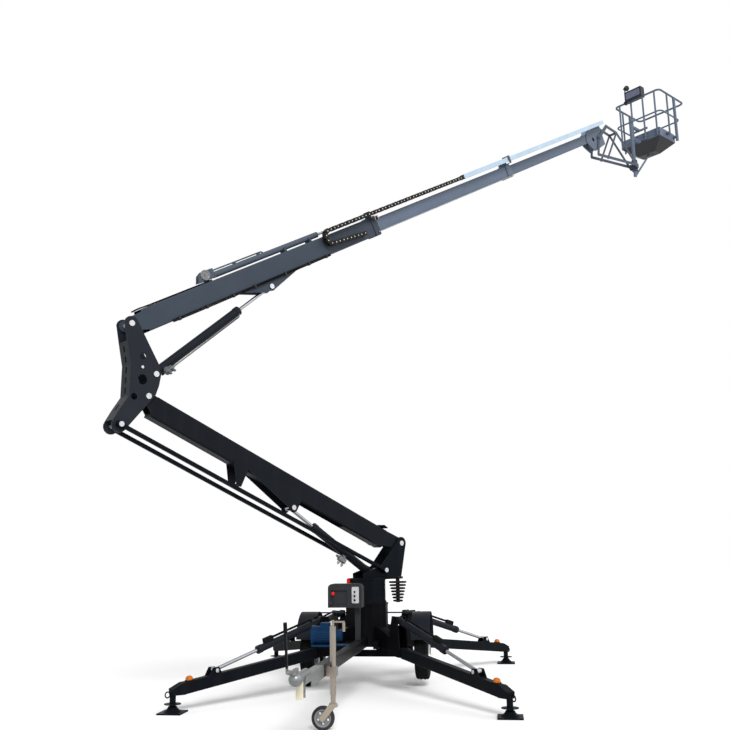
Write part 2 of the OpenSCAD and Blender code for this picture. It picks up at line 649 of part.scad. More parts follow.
// knuckle
module knuckle() color(steel_dark) part() {
  back = [k1 + [-291, 615], k1 + [-237, 351], k1 + [-240, -15], k1 + [-342, -177], k1 + [-414, -306]];
  outline = concat(
    [for (i = [0 : 6]) k3 + 88 * [cos(20 + i * 25), sin(20 + i * 25)]],
    back,
    [for (i = [0 : 6]) k2 + 90 * [cos(170 + i * 24), sin(170 + i * 24)]],
    [k1 + [-60, -159], k1 + [88, 21], k1 + [126, 133], k1 + [148, 264], k1 + [111, 392], k1 + [-90, 725]]);
  slabs(cheek_y, cheek_out) difference() {
    polygon(outline);
    for (p = [k1, k2, k3, k4]) translate(p) circle(r = pin_d / 2 + 0.3, $fn = 48);
    translate(k1 + [-82, 185]) circle(r = 60, $fn = 40);
    translate(k1 + [-87, 455]) circle(r = 40, $fn = 40);
    translate(k1 + [-178, -22]) circle(r = 40, $fn = 40);
  }
  difference() {
    slab(-cheek_y, cheek_y) polygon(concat(back, [for (i = [4 : -1 : 0]) back[i] + [14, 0]]));
    for (h = [530, 410, 290, 170, 50]) translate([k1[0] - 330, 0, k1[1] + h]) slot_cut();
    translate(k1[0] * [1, 0, 0] + [-450, 0, k1[1] - 150]) slot_cut();
  }
}
// upright slot with round ends, cut along x
module slot_cut() run(0, 180) bar2d([0, -20], [0, 20], 38);
module knuckle_pins() color(zinc) part() {
  pivot_pin(k1, cheek_out, 34);
  pivot_pin(k3, cheek_out, 34);
  for (s = [-1, 1]) {
    disc_y(k4[0], k4[1], s > 0 ? 52 : -cheek_out, s > 0 ? cheek_out : -52, pin_d / 2);
    disc_y(k4[0], k4[1], s > 0 ? cheek_out : -cheek_out - 12, s > 0 ? cheek_out + 12 : -cheek_out, 34);
  }
  pivot_pin(k2, tie_y + tie_w / 2 + 2, 30);
  for (y = [cheek_out, -cheek_out - 9]) disc_y(k1[0] - 92, k1[1] + 328, y, y + 9, 17);
}
module upper_barrel() color(steel_dark) member(k4, atan2(p2[1] - k4[1], p2[0] - k4[0])) {
  barrel(upper_barrel_l, upper_barrel_d, lift_rod_d, 92);
  translate([0, 0, -upper_barrel_d / 2 - 15]) rod_x(120, upper_barrel_l - 60, 9);
  for (x = [120, upper_barrel_l - 70]) translate([x, -16, -upper_barrel_d / 2 - 19]) cube([30, 32, 24]);
}
module upper_rod() color(chrome) member(k4, atan2(p2[1] - k4[1], p2[0] - k4[0])) difference() {
  rod_eye(upper_rod_in, norm(p2 - k4), lift_rod_d, 42, 80);
  disc_y(norm(p2 - k4), 0, -80, 80, pin_d / 2 + 0.3);
}

// upper boom, drawn along its own axis from the knuckle pivot
module base_boom() color(steel_dark) member(k3, upper_deg) {
  translate([0, 0, -upper_drop]) {
    run(190, base_end) tube_section(base_w, base_h, 22, tele_t);
    run(base_end - 110, base_end) tube_section(base_w + 24, base_h + 24, 24, 14);
    wear_pads(base_end, mid_h, base_h);
  }
  slabs(base_w / 2 - 20, base_w / 2 + 2) difference() {
    union() {
      circle(r = 66, $fn = 48);
      polygon([[-20, 62], [260, base_top - 20], [330, base_top - 24], [330, base_bot + 24],
        [200, base_bot + 20], [-30, -58]]);
    }
    circle(r = pin_d / 2 + 0.3, $fn = 48);
  }
  slabs(lug_y, lug_y + lug_t) difference() {
    union() {
      polygon([[1640, base_bot + 2], [upper_lug_s - 120, -upper_lug_h - 46],
        [upper_lug_s + 30, -upper_lug_h - 50], [2680, base_bot + 2]]);
      translate([upper_lug_s, -upper_lug_h]) circle(r = 58, $fn = 40);
    }
    translate([upper_lug_s, -upper_lug_h]) circle(r = 25.3, $fn = 40);
  }
  for (s = [2600, 3080]) translate([s, 0, base_top - 2]) saddle();
  translate([base_end - 60, -45, base_top + 10]) cube([50, 90, tele_h - base_top + 28]);
  translate([4010, -base_w / 2 - 8, -118]) cube([40, 9, 70]);
}
// slide pads above and below a section, fixed in the mouth of the one around it
module wear_pads(s, h, around) for (m = [0, 1]) mirror([0, 0, m]) translate([s - 100, -50, h / 2 + pad_gap])
  cube([90, 100, (around - h) / 2 - pad_gap - 1]);
// half-round guide that the telescope barrel slides in
module saddle() difference() {
  translate([-20, -52, 0]) cube([40, 104, tele_h - base_top - 2]);
  translate([0, 0, tele_h - base_top + 2]) rod_x(-50, 50, tele_barrel_d / 2 + 1);
}
module upper_pin() color(zinc) member(k3, upper_deg) for (s = [-1, 1]) {
  side = lug_y + lug_t + 1;
  disc_y(upper_lug_s, -upper_lug_h, s > 0 ? 0 : -side, s > 0 ? side : 0, pin_d / 2);
  disc_y(upper_lug_s, -upper_lug_h, s > 0 ? side : -side - 12, s > 0 ? side + 12 : -side, 34);
}
module tele_barrel() color([0.45, 0.52, 0.60]) member(k3, upper_deg) translate([0, 0, tele_h]) {
  difference() {
    union() {
      rod_x(tele_s0, tele_s1, tele_barrel_d / 2);
      translate([1150, -30, -34]) cube([250, 60, 68]);
      for (s = [1760, 2180]) translate([s - 14, -24, 0]) cube([28, 48, tele_barrel_d / 2 + 12]);
    }
    rod_x(tele_s0 + 30, tele_s1 - 40, tele_barrel_d / 2 - 7);
    rod_x(tele_s1 - 80, tele_s1 + 1, 18.5);
    translate([1150, -17, -40]) cube([200, 34, 80]);
  }
  disc_y(1255, 0, -14, 14, 52);
  for (s = [-1, 1]) disc_y(1255, 0, s > 0 ? 14 : -42, s > 0 ? 42 : -14, 18);
  slabs(30, 36) polygon([[1110, -30], [1160, 60], [1230, 92], [1390, 88], [1390, -30]]);
}
module tele_rod() color(chrome) member(k3, upper_deg) translate([0, 0, tele_h]) rod_x(2480, base_end - 60, 18);
module mid_boom() color(steel_dark) member(k3, upper_deg) translate([0, 0, -upper_drop]) {
  run(mid_start, mid_end) tube_section(mid_w, mid_h, 18, tele_t);
  run(mid_end - 130, mid_end) tube_section(mid_w + 26, mid_h + 26, 20, 14);
  wear_pads(mid_end, inner_h, mid_h);
  translate([mid_end - 120, -60, mid_h / 2 + 12]) cube([90, 120, 40]);
  translate([mid_end - 110, chain_y - 56, mid_h / 2 + 12]) cube([14, -chain_y + 20, 14]);
}
module extension_rope() color([0.5, 0.5, 0.5]) member(k3, upper_deg) {
  translate([0, rope_y, rope_z]) rod_x(base_end - 60, mid_end - 60, 7);
  translate([mid_end - 100, rope_y - 12, rope_z - 12]) cube([60, 12 - rope_y - mid_w / 2 - 13, 24]);
}
// one link, a short square tube with a pin on each side; narrow links lap into the wide ones
module link(wide) {
  w = wide ? chain_w : chain_w - 8;
  h = wide ? chain_h : chain_h - 8;
  l = wide ? chain_pitch - 6 : chain_pitch + 14;
  difference() {
    cube([l, w, h], center = true);
    cube([l + 2, w - 18, h - 18], center = true);
  }
  for (s = [-1, 1]) disc_y(0, 0, s > 0 ? w / 2 - 1 : -w / 2 - 3, s > 0 ? w / 2 + 3 : 1 - w / 2, 9);
}
module energy_chain() color(steel_black) member(k3, upper_deg) translate([chain_s, chain_y, 0]) {
  turn = 180 / 4;
  for (i = [0 : chain_top_n - 1]) translate([(i + 0.5) * chain_pitch, 0, chain_top]) link(i % 2 == 1);
  for (i = [0 : 3]) translate([0, 0, (chain_top + chain_low) / 2]) rotate([0, -(90 + (i + 0.5) * turn), 0])
    translate([chain_r, 0, 0]) rotate([0, 90, 0]) link(i % 2 == 0);
  for (i = [0 : chain_low_n - 1]) translate([(i + 0.5) * chain_pitch, 0, chain_low - 5 * i]) rotate([0, 4, 0])
    link(i % 2 == 0);
}
module inner_boom() color(steel_dark) member(k3, upper_deg) {
  translate([0, 0, -upper_drop]) run(inner_start, inner_end) tube_section(inner_w, inner_h, 16, tele_t);
  slabs(inner_w / 2 - 2, inner_w / 2 + 12) difference() {
    polygon([[inner_end - 90, -160], [inner_end - 140, -60], [inner_end - 60, 80], [inner_end + 380, 150],
      [inner_end + 520, 120], [inner_end + 500, -260], [inner_end + 60, -310]]);
    translate([inner_end + 330, -90]) circle(r = pin_d / 2 + 0.3, $fn = 40);
    translate([inner_end + 120, -80]) circle(r = 45, $fn = 40);
  }
  translate([inner_end - 10, -inner_w / 2, -inner_h / 2 - upper_drop]) cube([10, inner_w, inner_h]);
}
module cable_carrier() color([0.78, 0.83, 0.88]) member(k3, upper_deg) translate([0, chain_y, chain_top]) {
  x0 = chain_s + chain_top_n * chain_pitch - 40;
  difference() {
    translate([x0, -chain_w / 2 - 14, -chain_h / 2 - 5]) cube([carrier_end - x0, chain_w + 28, chain_h + 17]);
    translate([x0 - 1, -chain_w / 2 - 9, -chain_h / 2 - pad_gap])
      cube([carrier_end - x0 + 2, chain_w + 18, chain_h + 8]);
  }
  translate([inner_end - 60, 0, -chain_h / 2 - 14]) cube([60, -chain_y + 40, 10]);
  translate([inner_end - 60, -chain_y - 40, inner_h / 2 - upper_drop - chain_top])
    cube([60, 80, chain_top - chain_h / 2 - 12 + upper_drop - inner_h / 2]);
}

// tip carrier and basket
module tip_carrier() color(steel_dark) {
  pivot = [k3[0] + (inner_end + 330) * cos(upper_deg) + 90 * sin(upper_deg),
    k3[1] + (inner_end + 330) * sin(upper_deg) - 90 * cos(upper_deg)];
  arm_low = tip + [270, -300];
  arm_high = tip + [620, 430];
  arm_knee = tip + [980, 400];
  part() {
    slabs(76, 88) {
      bar2d(arm_low, [post_x - 90, floor_z - 660], 56);
      bar2d(arm_high, arm_knee, 60);
      bar2d(arm_knee, [post_x - 20, floor_z - 700], 60);
      bar2d(arm_high, pivot, 70);
      bar2d(arm_low, pivot, 60);
      bar2d(arm_low + [330, 20], arm_knee, 40);
      translate(pivot) circle(r = 60, $fn = 40);
    }
    disc_y(pivot[0], pivot[1], -100, 100, pin_d / 2);
    slab(-76, 76) translate(arm_knee) circle(r = 24, $fn = 32);
    difference() {
      translate([post_x, 0, floor_z - 760]) cylinder(r = 62, h = 240, $fn = 40);
      translate([post_x, 0, floor_z - 770]) cylinder(r = 36.4, h = 260, $fn = 40);
    }
    for (s = [-1, 1]) translate([post_x - 80, s > 0 ? 40 : -88, floor_z - 700]) cube([90, 48, 80]);
  }
}
// a closed ring of rail tube with round corners
module rail_ring(l, w, r, d) {
  for (s = [-1, 1]) {
    translate([r, s * w / 2, 0]) rod_x(0, l - 2 * r, d / 2);
    translate([s > 0 ? l : 0, -w / 2 + r, 0]) rotate([-90, 0, 0]) cylinder(d = d, h = w - 2 * r, $fn = 24);
  }
  for (c = [[r, w / 2 - r, 90], [l - r, w / 2 - r, 0], [r, r - w / 2, 180], [l - r, r - w / 2, 270]])
    translate([c[0], c[1], 0]) rotate([0, 0, c[2]]) rotate_extrude(angle = 90, $fn = 48)
      translate([r, 0]) circle(d = d, $fn = 24);
}
// uprights: along the boom, across the boom, diameter
posts = [[0, -420, 38], [0, -140, 38], [0, 140, 38], [0, 420, 38],
  [300, -rail_w / 2, 38], [300, rail_w / 2, 38],
  [floor_l - 10, -rail_w / 2, 62], [floor_l - 10, rail_w / 2, 62]];
module upright(p) translate([rail_x0 + p[0], p[1], floor_z + 20])
  cylinder(d = p[2], h = cage_h - 20, $fn = 32);
module basket_cage() color(steel_dark) part() {
  translate([rail_x0, 0, rail_z]) rail_ring(rail_l, rail_w, rail_r, rail_d);
  translate([rail_x0, 0, rail_z - cage_h * 0.47]) rail_ring(rail_l - 230, rail_w, rail_r, 33);
  for (p = posts) upright(p);
  translate([post_x, 0, floor_z - 880]) cylinder(r = 36, h = 1180, $fn = 40);
  for (z = [240, -20]) translate([post_x, -26, floor_z + z]) cube([rail_x0 - post_x - 6, 52, 50]);
  translate([rail_x0 - 12, -200, floor_z + 245]) cube([24, 400, 40]);
  translate([rail_x0 - 12, -200, floor_z + 25]) cube([24, 400, 20]);
  strut([post_x + 10, 0, floor_z - 868], [post_x + 600, 0, floor_z - pan_h - 14], 40);
}
module basket_floor() color([0.16, 0.17, 0.18]) part() {
  x0 = rail_x0 + 25;
  translate([x0, 0, floor_z]) {
    difference() {
      translate([0, -floor_w / 2, 0]) cube([floor_l, floor_w, toe_h]);
      translate([5, -floor_w / 2 + 5, 10]) cube([floor_l - 10, floor_w - 10, toe_h]);
    }
    difference() {
      pan(floor_l, floor_w, pan_h);
      translate([5, 0, 1]) pan(floor_l - 10, floor_w - 10, pan_h - 6);
      translate([floor_l / 2, -120, -400]) cylinder(r = 60, h = 200, $fn = 32);
    }
  }
  difference() {
    for (p = posts) translate([rail_x0 + p[0] - 10, p[1], floor_z + 90])
      rotate([0, 0, p[0] == 0 ? 0 : p[1] > 0 ? -90 : 90]) translate([0, -25, 0])
      cube([p[0] == 0 ? 37 : rail_w / 2 - floor_w / 2 + 2, 50, 40]);
    for (p = posts) upright(p);
  }
}
// folded pan under the floor, drawn in to the strut
module pan(l, w, h) intersection() {
  slab(-w / 2, w / 2) polygon([[0, 0], [l, 0], [l - 190, -h], [210, -h]]);
  run(0, l) polygon([[-w / 2, 0], [w / 2, 0], [200, -h], [-200, -h]]);
}
module basket_box() color([0.42, 0.44, 0.56]) part() translate([rail_x0, 0, rail_z]) {
  difference() {
    union() {
      translate([-70, -160, -8]) cube([140, 400, 226]);
      translate([-34, 236, -32]) cube([68, 52, 64]);
    }
    translate([0, -300, 0]) rotate([-90, 0, 0]) cylinder(d = rail_d, h = 600, $fn = 24);
  }
  translate([0, 262, 28]) cylinder(d = 26, h = 322, $fn = 24);
  translate([0, 262, 345]) rotate([0, 60, 0]) cylinder(r1 = 34, r2 = 62, h = 95, $fn = 32);
}

chassis();
axle();
mudguards();
tyre(1);  // tyre_left
rim(1);  // rim_left
tyre(-1);  // tyre_right
rim(-1);  // rim_right
drawbar();
coupling();
jockey_tube();
jockey_fork();
jockey_wheel();
motor();
ground_box();
outrigger_legs();
outrigger_barrels();
outrigger_rods();
turret();
turret_pins();
cable_coil();
lower_boom();
lower_pin();
tie_rods();
lower_barrel();
lower_rod();
knuckle();
knuckle_pins();
upper_barrel();
upper_rod();
base_boom();
upper_pin();
tele_barrel();
tele_rod();
mid_boom();
extension_rope();
energy_chain();
inner_boom();
cable_carrier();
tip_carrier();
basket_cage();
basket_floor();
basket_box();
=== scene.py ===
"""Finish, small fittings and stage for a towable articulated boom lift, laid out as an add-on."""
import json
import math

import bmesh
import bpy
import numpy as np
from mathutils import Matrix, Vector


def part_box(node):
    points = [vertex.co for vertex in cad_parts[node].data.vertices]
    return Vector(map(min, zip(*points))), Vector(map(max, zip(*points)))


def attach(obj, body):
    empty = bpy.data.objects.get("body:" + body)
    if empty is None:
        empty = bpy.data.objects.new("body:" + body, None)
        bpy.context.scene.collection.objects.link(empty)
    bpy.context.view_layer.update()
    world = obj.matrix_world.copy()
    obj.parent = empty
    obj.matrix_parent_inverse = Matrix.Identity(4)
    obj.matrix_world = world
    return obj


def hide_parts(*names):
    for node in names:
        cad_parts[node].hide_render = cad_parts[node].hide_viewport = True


bl_info = {
    "name": "Boom lift finish",
    "version": (1, 0, 0),
    "blender": (4, 5, 0),
    "location": "3D View > Sidebar > Boom lift",
    "description": "Paint, tyres, fittings and a plain stage for a towable articulated boom lift",
    "category": "Object",
}

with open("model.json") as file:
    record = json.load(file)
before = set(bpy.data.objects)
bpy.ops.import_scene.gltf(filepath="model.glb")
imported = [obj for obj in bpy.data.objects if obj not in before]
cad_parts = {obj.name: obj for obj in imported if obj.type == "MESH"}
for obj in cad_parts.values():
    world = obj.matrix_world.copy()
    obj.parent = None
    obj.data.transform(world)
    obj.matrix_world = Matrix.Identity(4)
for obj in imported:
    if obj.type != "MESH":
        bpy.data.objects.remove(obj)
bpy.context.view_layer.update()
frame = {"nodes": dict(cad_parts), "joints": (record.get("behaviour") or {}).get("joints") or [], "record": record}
JOINTS = {joint["name"]: joint for joint in frame["joints"]}

# directions and pivots, mostly from the joints
ACROSS = np.array([0.0, 1.0, 0.0])
UP = np.array([0.0, 0.0, 1.0])
TELE_DIR = np.array(JOINTS["telescope"]["axis"], float)
KNEE = np.array(JOINTS["upper_lift"]["pos_m"], float)
SLEW = np.array(JOINTS["slew"]["pos_m"], float) * [1, 1, 0]
TRAILER_Y = np.array(JOINTS["wheel_left_spin"]["axis"], float)
TRAILER_X = np.array([TRAILER_Y[1], -TRAILER_Y[0], 0.0])
TRAILER_AXES = np.stack([TRAILER_X, TRAILER_Y, UP])
# base pin of the upper lift cylinder, measured back from its rod pin
UPPER_PINS_APART = 2.137
UPPER_DIR = -np.array(JOINTS["upper_barrel_slide"]["axis"], float)
UPPER_BASE = np.array(JOINTS["upper_rod_turn"]["pos_m"], float) - UPPER_PINS_APART * UPPER_DIR
LOWER_DIR = np.array(JOINTS["lower_rod_slide"]["axis"], float)
LOWER_BASE = np.array(JOINTS["lower_barrel_turn"]["pos_m"], float)
# where the foot plates stand, ahead of the slew axis and to its side
PAD = np.array([2.3, 1.82, 0.0])
# the drawbar is painted up to here, ahead of the slew axis
PAINT_ENDS_X = 3.25
# the hand brake lever stands on the coupling above this height
LEVER_FROM_Z = 0.715
# how far below the near side of the upper lift cylinder its valve sits
VALVE_TURN = math.radians(30)
CORNERS = [np.array([sx, sy, 0.0]) for sx in (-1, 1) for sy in (-1, 1)]
# a direction that no tube follows
ASKEW = [0.12, 0.31, 0.94]
SHARP_ANGLE = math.radians(38)
MERGE_WITHIN = 1e-6

# colours that the panel doesn't offer
WHITE = (1.0, 1.0, 1.0, 1.0)
FLOOR_WHITE = (0.93, 0.93, 0.93, 1.0)
DUST = (0.06, 0.058, 0.056, 1.0)
RUBBER = (0.004, 0.004, 0.0045)
RUBBER_DUST = (0.012, 0.0115, 0.011, 1.0)
PALE_RUBBER = (0.036, 0.036, 0.037)
HUB_GREY = (0.20, 0.205, 0.21, 1.0)
BARE_STEEL = (0.20, 0.205, 0.21)
# painted shade: the dark colour of the basket floor's downward faces, standing for the shade under it
UNDERSIDE_SHADE = (0.040, 0.040, 0.043)
COAT_ROUGH = 0.15
# half breadths of the blends at the hub's rim and the paint's end
HUB_EDGE, PAINT_EDGE = 0.001, 0.004


def boom_axes(direction):
    """Rows along a boom or cylinder, across it to its far side, and up from it."""
    up = np.array([-direction[2], 0.0, direction[0]])
    return np.stack([direction, ACROSS, up * np.sign(up[2])])


def leg_axes(corner):
    """Rows outwards along the leg of one corner, across it, and up."""
    out = PAD * corner / np.linalg.norm(PAD)
    return np.stack([out, [-out[1], out[0], 0.0], UP]) @ TRAILER_AXES


TELE_AXES = boom_axes(TELE_DIR)
TELE_UP = TELE_AXES[2]
UPPER_AXES = boom_axes(UPPER_DIR)
LOWER_AXES = boom_axes(LOWER_DIR)
# for what faces the upper boom's near side, and for what faces ahead on the trailer
NEAR_AXES = np.stack([TELE_DIR, TELE_UP, -ACROSS])
AHEAD_AXES = np.stack([TRAILER_Y, UP, TRAILER_X])


def on_trailer(points):
    """Points given ahead, left and up from the slew axis at floor level."""
    return SLEW + np.asarray(points, float) @ TRAILER_AXES


def on_tele(points):
    """Points given along the upper boom, across it and above its pivot line."""
    return KNEE + np.asarray(points, float) @ TELE_AXES


class LiftSizes(bpy.types.PropertyGroup):
    """Sizes of the small fittings."""

    tyre_width: bpy.props.FloatProperty(
        name="Tyre width", description="Width of a road tyre", default=0.195, unit="LENGTH")
    tyre_height: bpy.props.FloatProperty(
        name="Tyre height", description="Height of a road tyre's section", default=0.136, unit="LENGTH")
    tread_depth: bpy.props.FloatProperty(
        name="Tread depth", description="Depth of the tyre grooves", default=0.008, unit="LENGTH")
    chain_pitch: bpy.props.FloatProperty(
        name="Chain pitch", description="Pitch of the energy chain", default=0.075, unit="LENGTH")
    lift_pipe_r: bpy.props.FloatProperty(
        name="Lift pipe", description="Radius of the lift cylinder's pipe", default=0.0075, unit="LENGTH")
    tele_pipe_r: bpy.props.FloatProperty(
        name="Telescope pipe", description="Radius of the telescope's pipe", default=0.010, unit="LENGTH")
    leg_pipe_r: bpy.props.FloatProperty(
        name="Leg pipe", description="Radius of an outrigger's pipe", default=0.014, unit="LENGTH")
    line_r: bpy.props.FloatProperty(
        name="Boom line", description="Radius of a line on the boom", default=0.0085, unit="LENGTH")


class LiftColours(bpy.types.PropertyGroup):
    """Colours of the finishes."""

    boom: bpy.props.FloatVectorProperty(
        name="Boom paint", description="Slate blue-grey paint", subtype="COLOR",
        default=(0.0085, 0.0105, 0.0145))
    # painted reflection: upper and far, and the copies made from them, are the boom's slate paint made lighter,
    # standing for the light and reflections on the higher parts
    upper: bpy.props.FloatVectorProperty(
        name="Upper boom paint", description="Paint of the upper boom's base section", subtype="COLOR",
        default=(0.033, 0.043, 0.060))
    far: bpy.props.FloatVectorProperty(
        name="Inner boom paint", description="Paint of the inner section and the basket", subtype="COLOR",
        default=(0.078, 0.100, 0.140))
    # painted shade: low is the boom's slate paint darkened, standing for the shade on the turret, legs and tie
    # rods
    low: bpy.props.FloatVectorProperty(
        name="Turret paint", description="Darker slate paint of turret, legs and tie rods", subtype="COLOR",
        default=(0.0030, 0.0042, 0.0062))
    black: bpy.props.FloatVectorProperty(
        name="Chassis paint", description="Black paint of the chassis", subtype="COLOR",
        default=(0.0026, 0.0027, 0.0036))
    motor: bpy.props.FloatVectorProperty(
        name="Motor", description="Blue of the motor", subtype="COLOR", default=(0.004, 0.024, 0.068))
    orange: bpy.props.FloatVectorProperty(
        name="Reflectors", description="Orange of lamps and reflectors", subtype="COLOR",
        default=(0.50, 0.135, 0.006))
    red: bpy.props.FloatVectorProperty(
        name="Stop button", description="Red of the stop button", subtype="COLOR", default=(0.60, 0.01, 0.01))


class LiftStage(bpy.types.PropertyGroup):
    """Camera, light and floor."""

    place: bpy.props.FloatVectorProperty(
        name="Camera place", description="Where the camera stands", default=(-10.484, -9.118, 1.658),
        subtype="XYZ", unit="LENGTH")
    aim: bpy.props.FloatVectorProperty(
        name="Camera aim", description="Direction that the camera looks in", default=(0.6406, 0.7375, 0.2137),
        subtype="DIRECTION")
    roll: bpy.props.FloatProperty(
        name="Camera roll", description="Turn of the picture", default=math.radians(-0.75), subtype="ANGLE")
    lens: bpy.props.FloatProperty(
        name="Lens", description="Focal length on a 36 mm frame, in millimetres", default=42.83)
    floor_size: bpy.props.FloatProperty(
        name="Floor", description="Side of the floor", default=120.0, unit="LENGTH")
    sky: bpy.props.FloatProperty(name="Sky", description="Strength of the sky as light", default=0.55)
    key: bpy.props.FloatProperty(name="Key light", description="Strength of the key light", default=2.6)
    fill: bpy.props.FloatProperty(name="Fill light", description="Strength of the fill light", default=0.9)


# meshes


def grid_faces(rows, cols, close_rows=False, close_cols=False):
    """Quads between neighbouring points of a grid, as an array of four indices."""
    r = np.arange(rows if close_rows else rows - 1)
    c = np.arange(cols if close_cols else cols - 1)
    i, j = np.meshgrid(r, c, indexing="ij")
    after, beside = (i + 1) % rows, (j + 1) % cols
    corners = [i * cols + j, after * cols + j, after * cols + beside, i * cols + beside]
    return np.stack(corners, -1).reshape(-1, 4)


def copies(shape, centres, axes):
    """The shape at each centre, its x, y and z along the rows of axes: one set, or one per centre."""
    points, faces = shape
    centres = np.atleast_2d(np.asarray(centres, float))
    axes = np.broadcast_to(axes, (len(centres), 3, 3))
    placed = np.einsum("pi,mij->mpj", points, axes) + centres[:, None]
    shift = (np.arange(len(centres)) * len(points))[:, None, None]
    return placed.reshape(-1, 3), (faces[None] + shift).reshape(-1, 4)


def joined(*shapes):
    """Several shapes as one set of points and faces."""
    starts = np.cumsum([0] + [len(points) for points, _ in shapes])
    return (np.concatenate([points for points, _ in shapes]),
            np.concatenate([faces + start for (_, faces), start in zip(shapes, starts)]))


def lathe(profile, sides=32):
    """A profile of (radius, height) pairs turned about z: (r cos a, r sin a, h)."""
    r, h = np.asarray(profile, float).T
    a = np.linspace(0, 2 * np.pi, sides, endpoint=False)
    points = np.stack([r[:, None] * np.cos(a), r[:, None] * np.sin(a), h[:, None] + 0 * a], -1)
    return points.reshape(-1, 3), grid_faces(len(r), sides, close_cols=True)


def soft_box(length, width, height, power=0.18, steps=28):
    """A superquadric: each half size times cosines and sines of two angles, raised to a small power."""
    u = np.linspace(-np.pi / 2, np.pi / 2, steps // 2 + 1)
    v = np.linspace(0, 2 * np.pi, steps, endpoint=False)
    u, v = np.meshgrid(u, v, indexing="ij")

    def flat(x):
        return np.sign(x) * np.abs(x) ** power

    points = np.stack([length / 2 * flat(np.cos(u)) * flat(np.cos(v)),
                       width / 2 * flat(np.cos(u)) * flat(np.sin(v)), height / 2 * flat(np.sin(u))], -1)
    return points.reshape(-1, 3), grid_faces(steps // 2 + 1, steps, close_cols=True)


def tube(path, radius, sides=12):
    """A circle carried along a path, square to its tangent, with its ends drawn in to a point."""
    path = np.asarray(path, float)
    path = np.concatenate([path[:1], path, path[-1:]])
    tangent = np.gradient(path, axis=0)
    tangent[0], tangent[-1] = tangent[1], tangent[-2]
    tangent /= np.linalg.norm(tangent, axis=1)[:, None]
    side = np.cross(tangent, ASKEW)
    side /= np.linalg.norm(side, axis=1)[:, None]
    other = np.cross(tangent, side)
    size = np.full(len(path), float(radius))
    size[[0, -1]] = 0.0
    a = np.linspace(0, 2 * np.pi, sides, endpoint=False)
    ring = side[:, None] * np.cos(a)[:, None] + other[:, None] * np.sin(a)[:, None]
    points = path[:, None] + size[:, None, None] * ring
    return points.reshape(-1, 3), grid_faces(len(path), sides, close_cols=True)


def smooth_path(points, count=40):
    """A curve through the points: Catmull-Rom, each stretch a cubic of its four nearest points."""
    p = np.asarray(points, float)
    p = np.concatenate([2 * p[:1] - p[1:2], p, 2 * p[-1:] - p[-2:-1]])
    t = np.linspace(0, len(p) - 3 - 1e-6, count)
    i = t.astype(int)
    t = (t - i)[:, None]
    a, b, c, d = p[i], p[i + 1], p[i + 2], p[i + 3]
    return 0.5 * (2 * b + (c - a) * t + (2 * a - 5 * b + 4 * c - d) * t ** 2 + (3 * b - a - 3 * c + d) * t ** 3)


def add_piece(name, shape, material, body, smooth=True):
    """A closed mesh of the shape, with doubles merged and faces turned outwards, riding on a body."""
    points, faces = shape
    mesh = bpy.data.meshes.new(name)
    mesh.from_pydata(points.tolist(), [], faces.tolist())
    work = bmesh.new()
    work.from_mesh(mesh)
    bmesh.ops.remove_doubles(work, verts=work.verts, dist=MERGE_WITHIN)
    bmesh.ops.recalc_face_normals(work, faces=work.faces)
    work.to_mesh(mesh)
    work.free()
    if smooth:
        mesh.shade_smooth()
        mesh.set_sharp_from_angle(angle=SHARP_ANGLE)
    obj = bpy.data.objects.new(name, mesh)
    bpy.context.scene.collection.objects.link(obj)
    mesh.materials.append(material)
    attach(obj, body)
    return obj


# shader groups and materials


class Tree:
    """Adds nodes to a shader tree and links them."""

    def __init__(self, tree):
        self.tree = tree

    def add(self, kind, sockets=None, **settings):
        """A node with these settings, and its sockets linked or set."""
        node = self.tree.nodes.new(kind)
        for key, value in settings.items():
            setattr(node, key, value)
        for key, value in (sockets or {}).items():
            self.give(value, node.inputs[key])
        return node

    def give(self, value, socket):
        """Links the socket, or sets it to a plain value."""
        if isinstance(value, bpy.types.NodeSocket):
            self.tree.links.new(value, socket)
        else:
            socket.default_value = value

    def feed(self, value, node, key):
        """Links or sets one socket of a node."""
        self.give(value, node.inputs[key])

    def place(self):
        """The point in Object coordinates."""
        return self.add("ShaderNodeTexCoord").outputs["Object"]

    def noise(self, coordinate, scale, detail=4.0):
        """Noise from 0 to 1 at the coordinate."""
        sockets = {"Vector": coordinate, "Scale": scale, "Detail": detail}
        return self.add("ShaderNodeTexNoise", sockets).outputs[0]

    def between(self, value, low, high, start=0.0, end=1.0):
        """The value, with start to end stretched to low to high and held there."""
        node = self.add("ShaderNodeMapRange", {
            "Value": value, "From Min": start, "From Max": end, "To Min": low, "To Max": high})
        return node.outputs[0]

    def blend(self, factor, first, second):
        """The first colour where the factor is 0, the second where it is 1."""
        node = self.add("ShaderNodeMix", data_type="RGBA")
        for key, value in (("Factor_Float", factor), ("A_Color", first), ("B_Color", second)):
            self.give(value, next(s for s in node.inputs if s.identifier == key))
        return next(s for s in node.outputs if s.identifier == "Result_Color")

    def group(self, tree, **values):
        """The outputs of a shader group set into this tree, with its own values."""
        return self.add("ShaderNodeGroup", values, node_tree=tree).outputs

    def bump(self, shader, height, distance, strength=0.5):
        """Relief of the given height on the shader's normal."""
        node = self.add("ShaderNodeBump", {"Height": height, "Distance": distance, "Strength": strength})
        self.feed(node.outputs[0], shader, "Normal")


def group_tree(name, inputs, outputs):
    """An empty shader group with float sockets, and its helper, input node and output node."""
    tree = bpy.data.node_groups.new(name, "ShaderNodeTree")
    for title, default in inputs:
        tree.interface.new_socket(title, in_out="INPUT", socket_type="NodeSocketFloat").default_value = default
    for title in outputs:
        tree.interface.new_socket(title, in_out="OUTPUT", socket_type="NodeSocketFloat")
    helper = Tree(tree)
    return tree, helper, helper.add("NodeGroupInput"), helper.add("NodeGroupOutput")


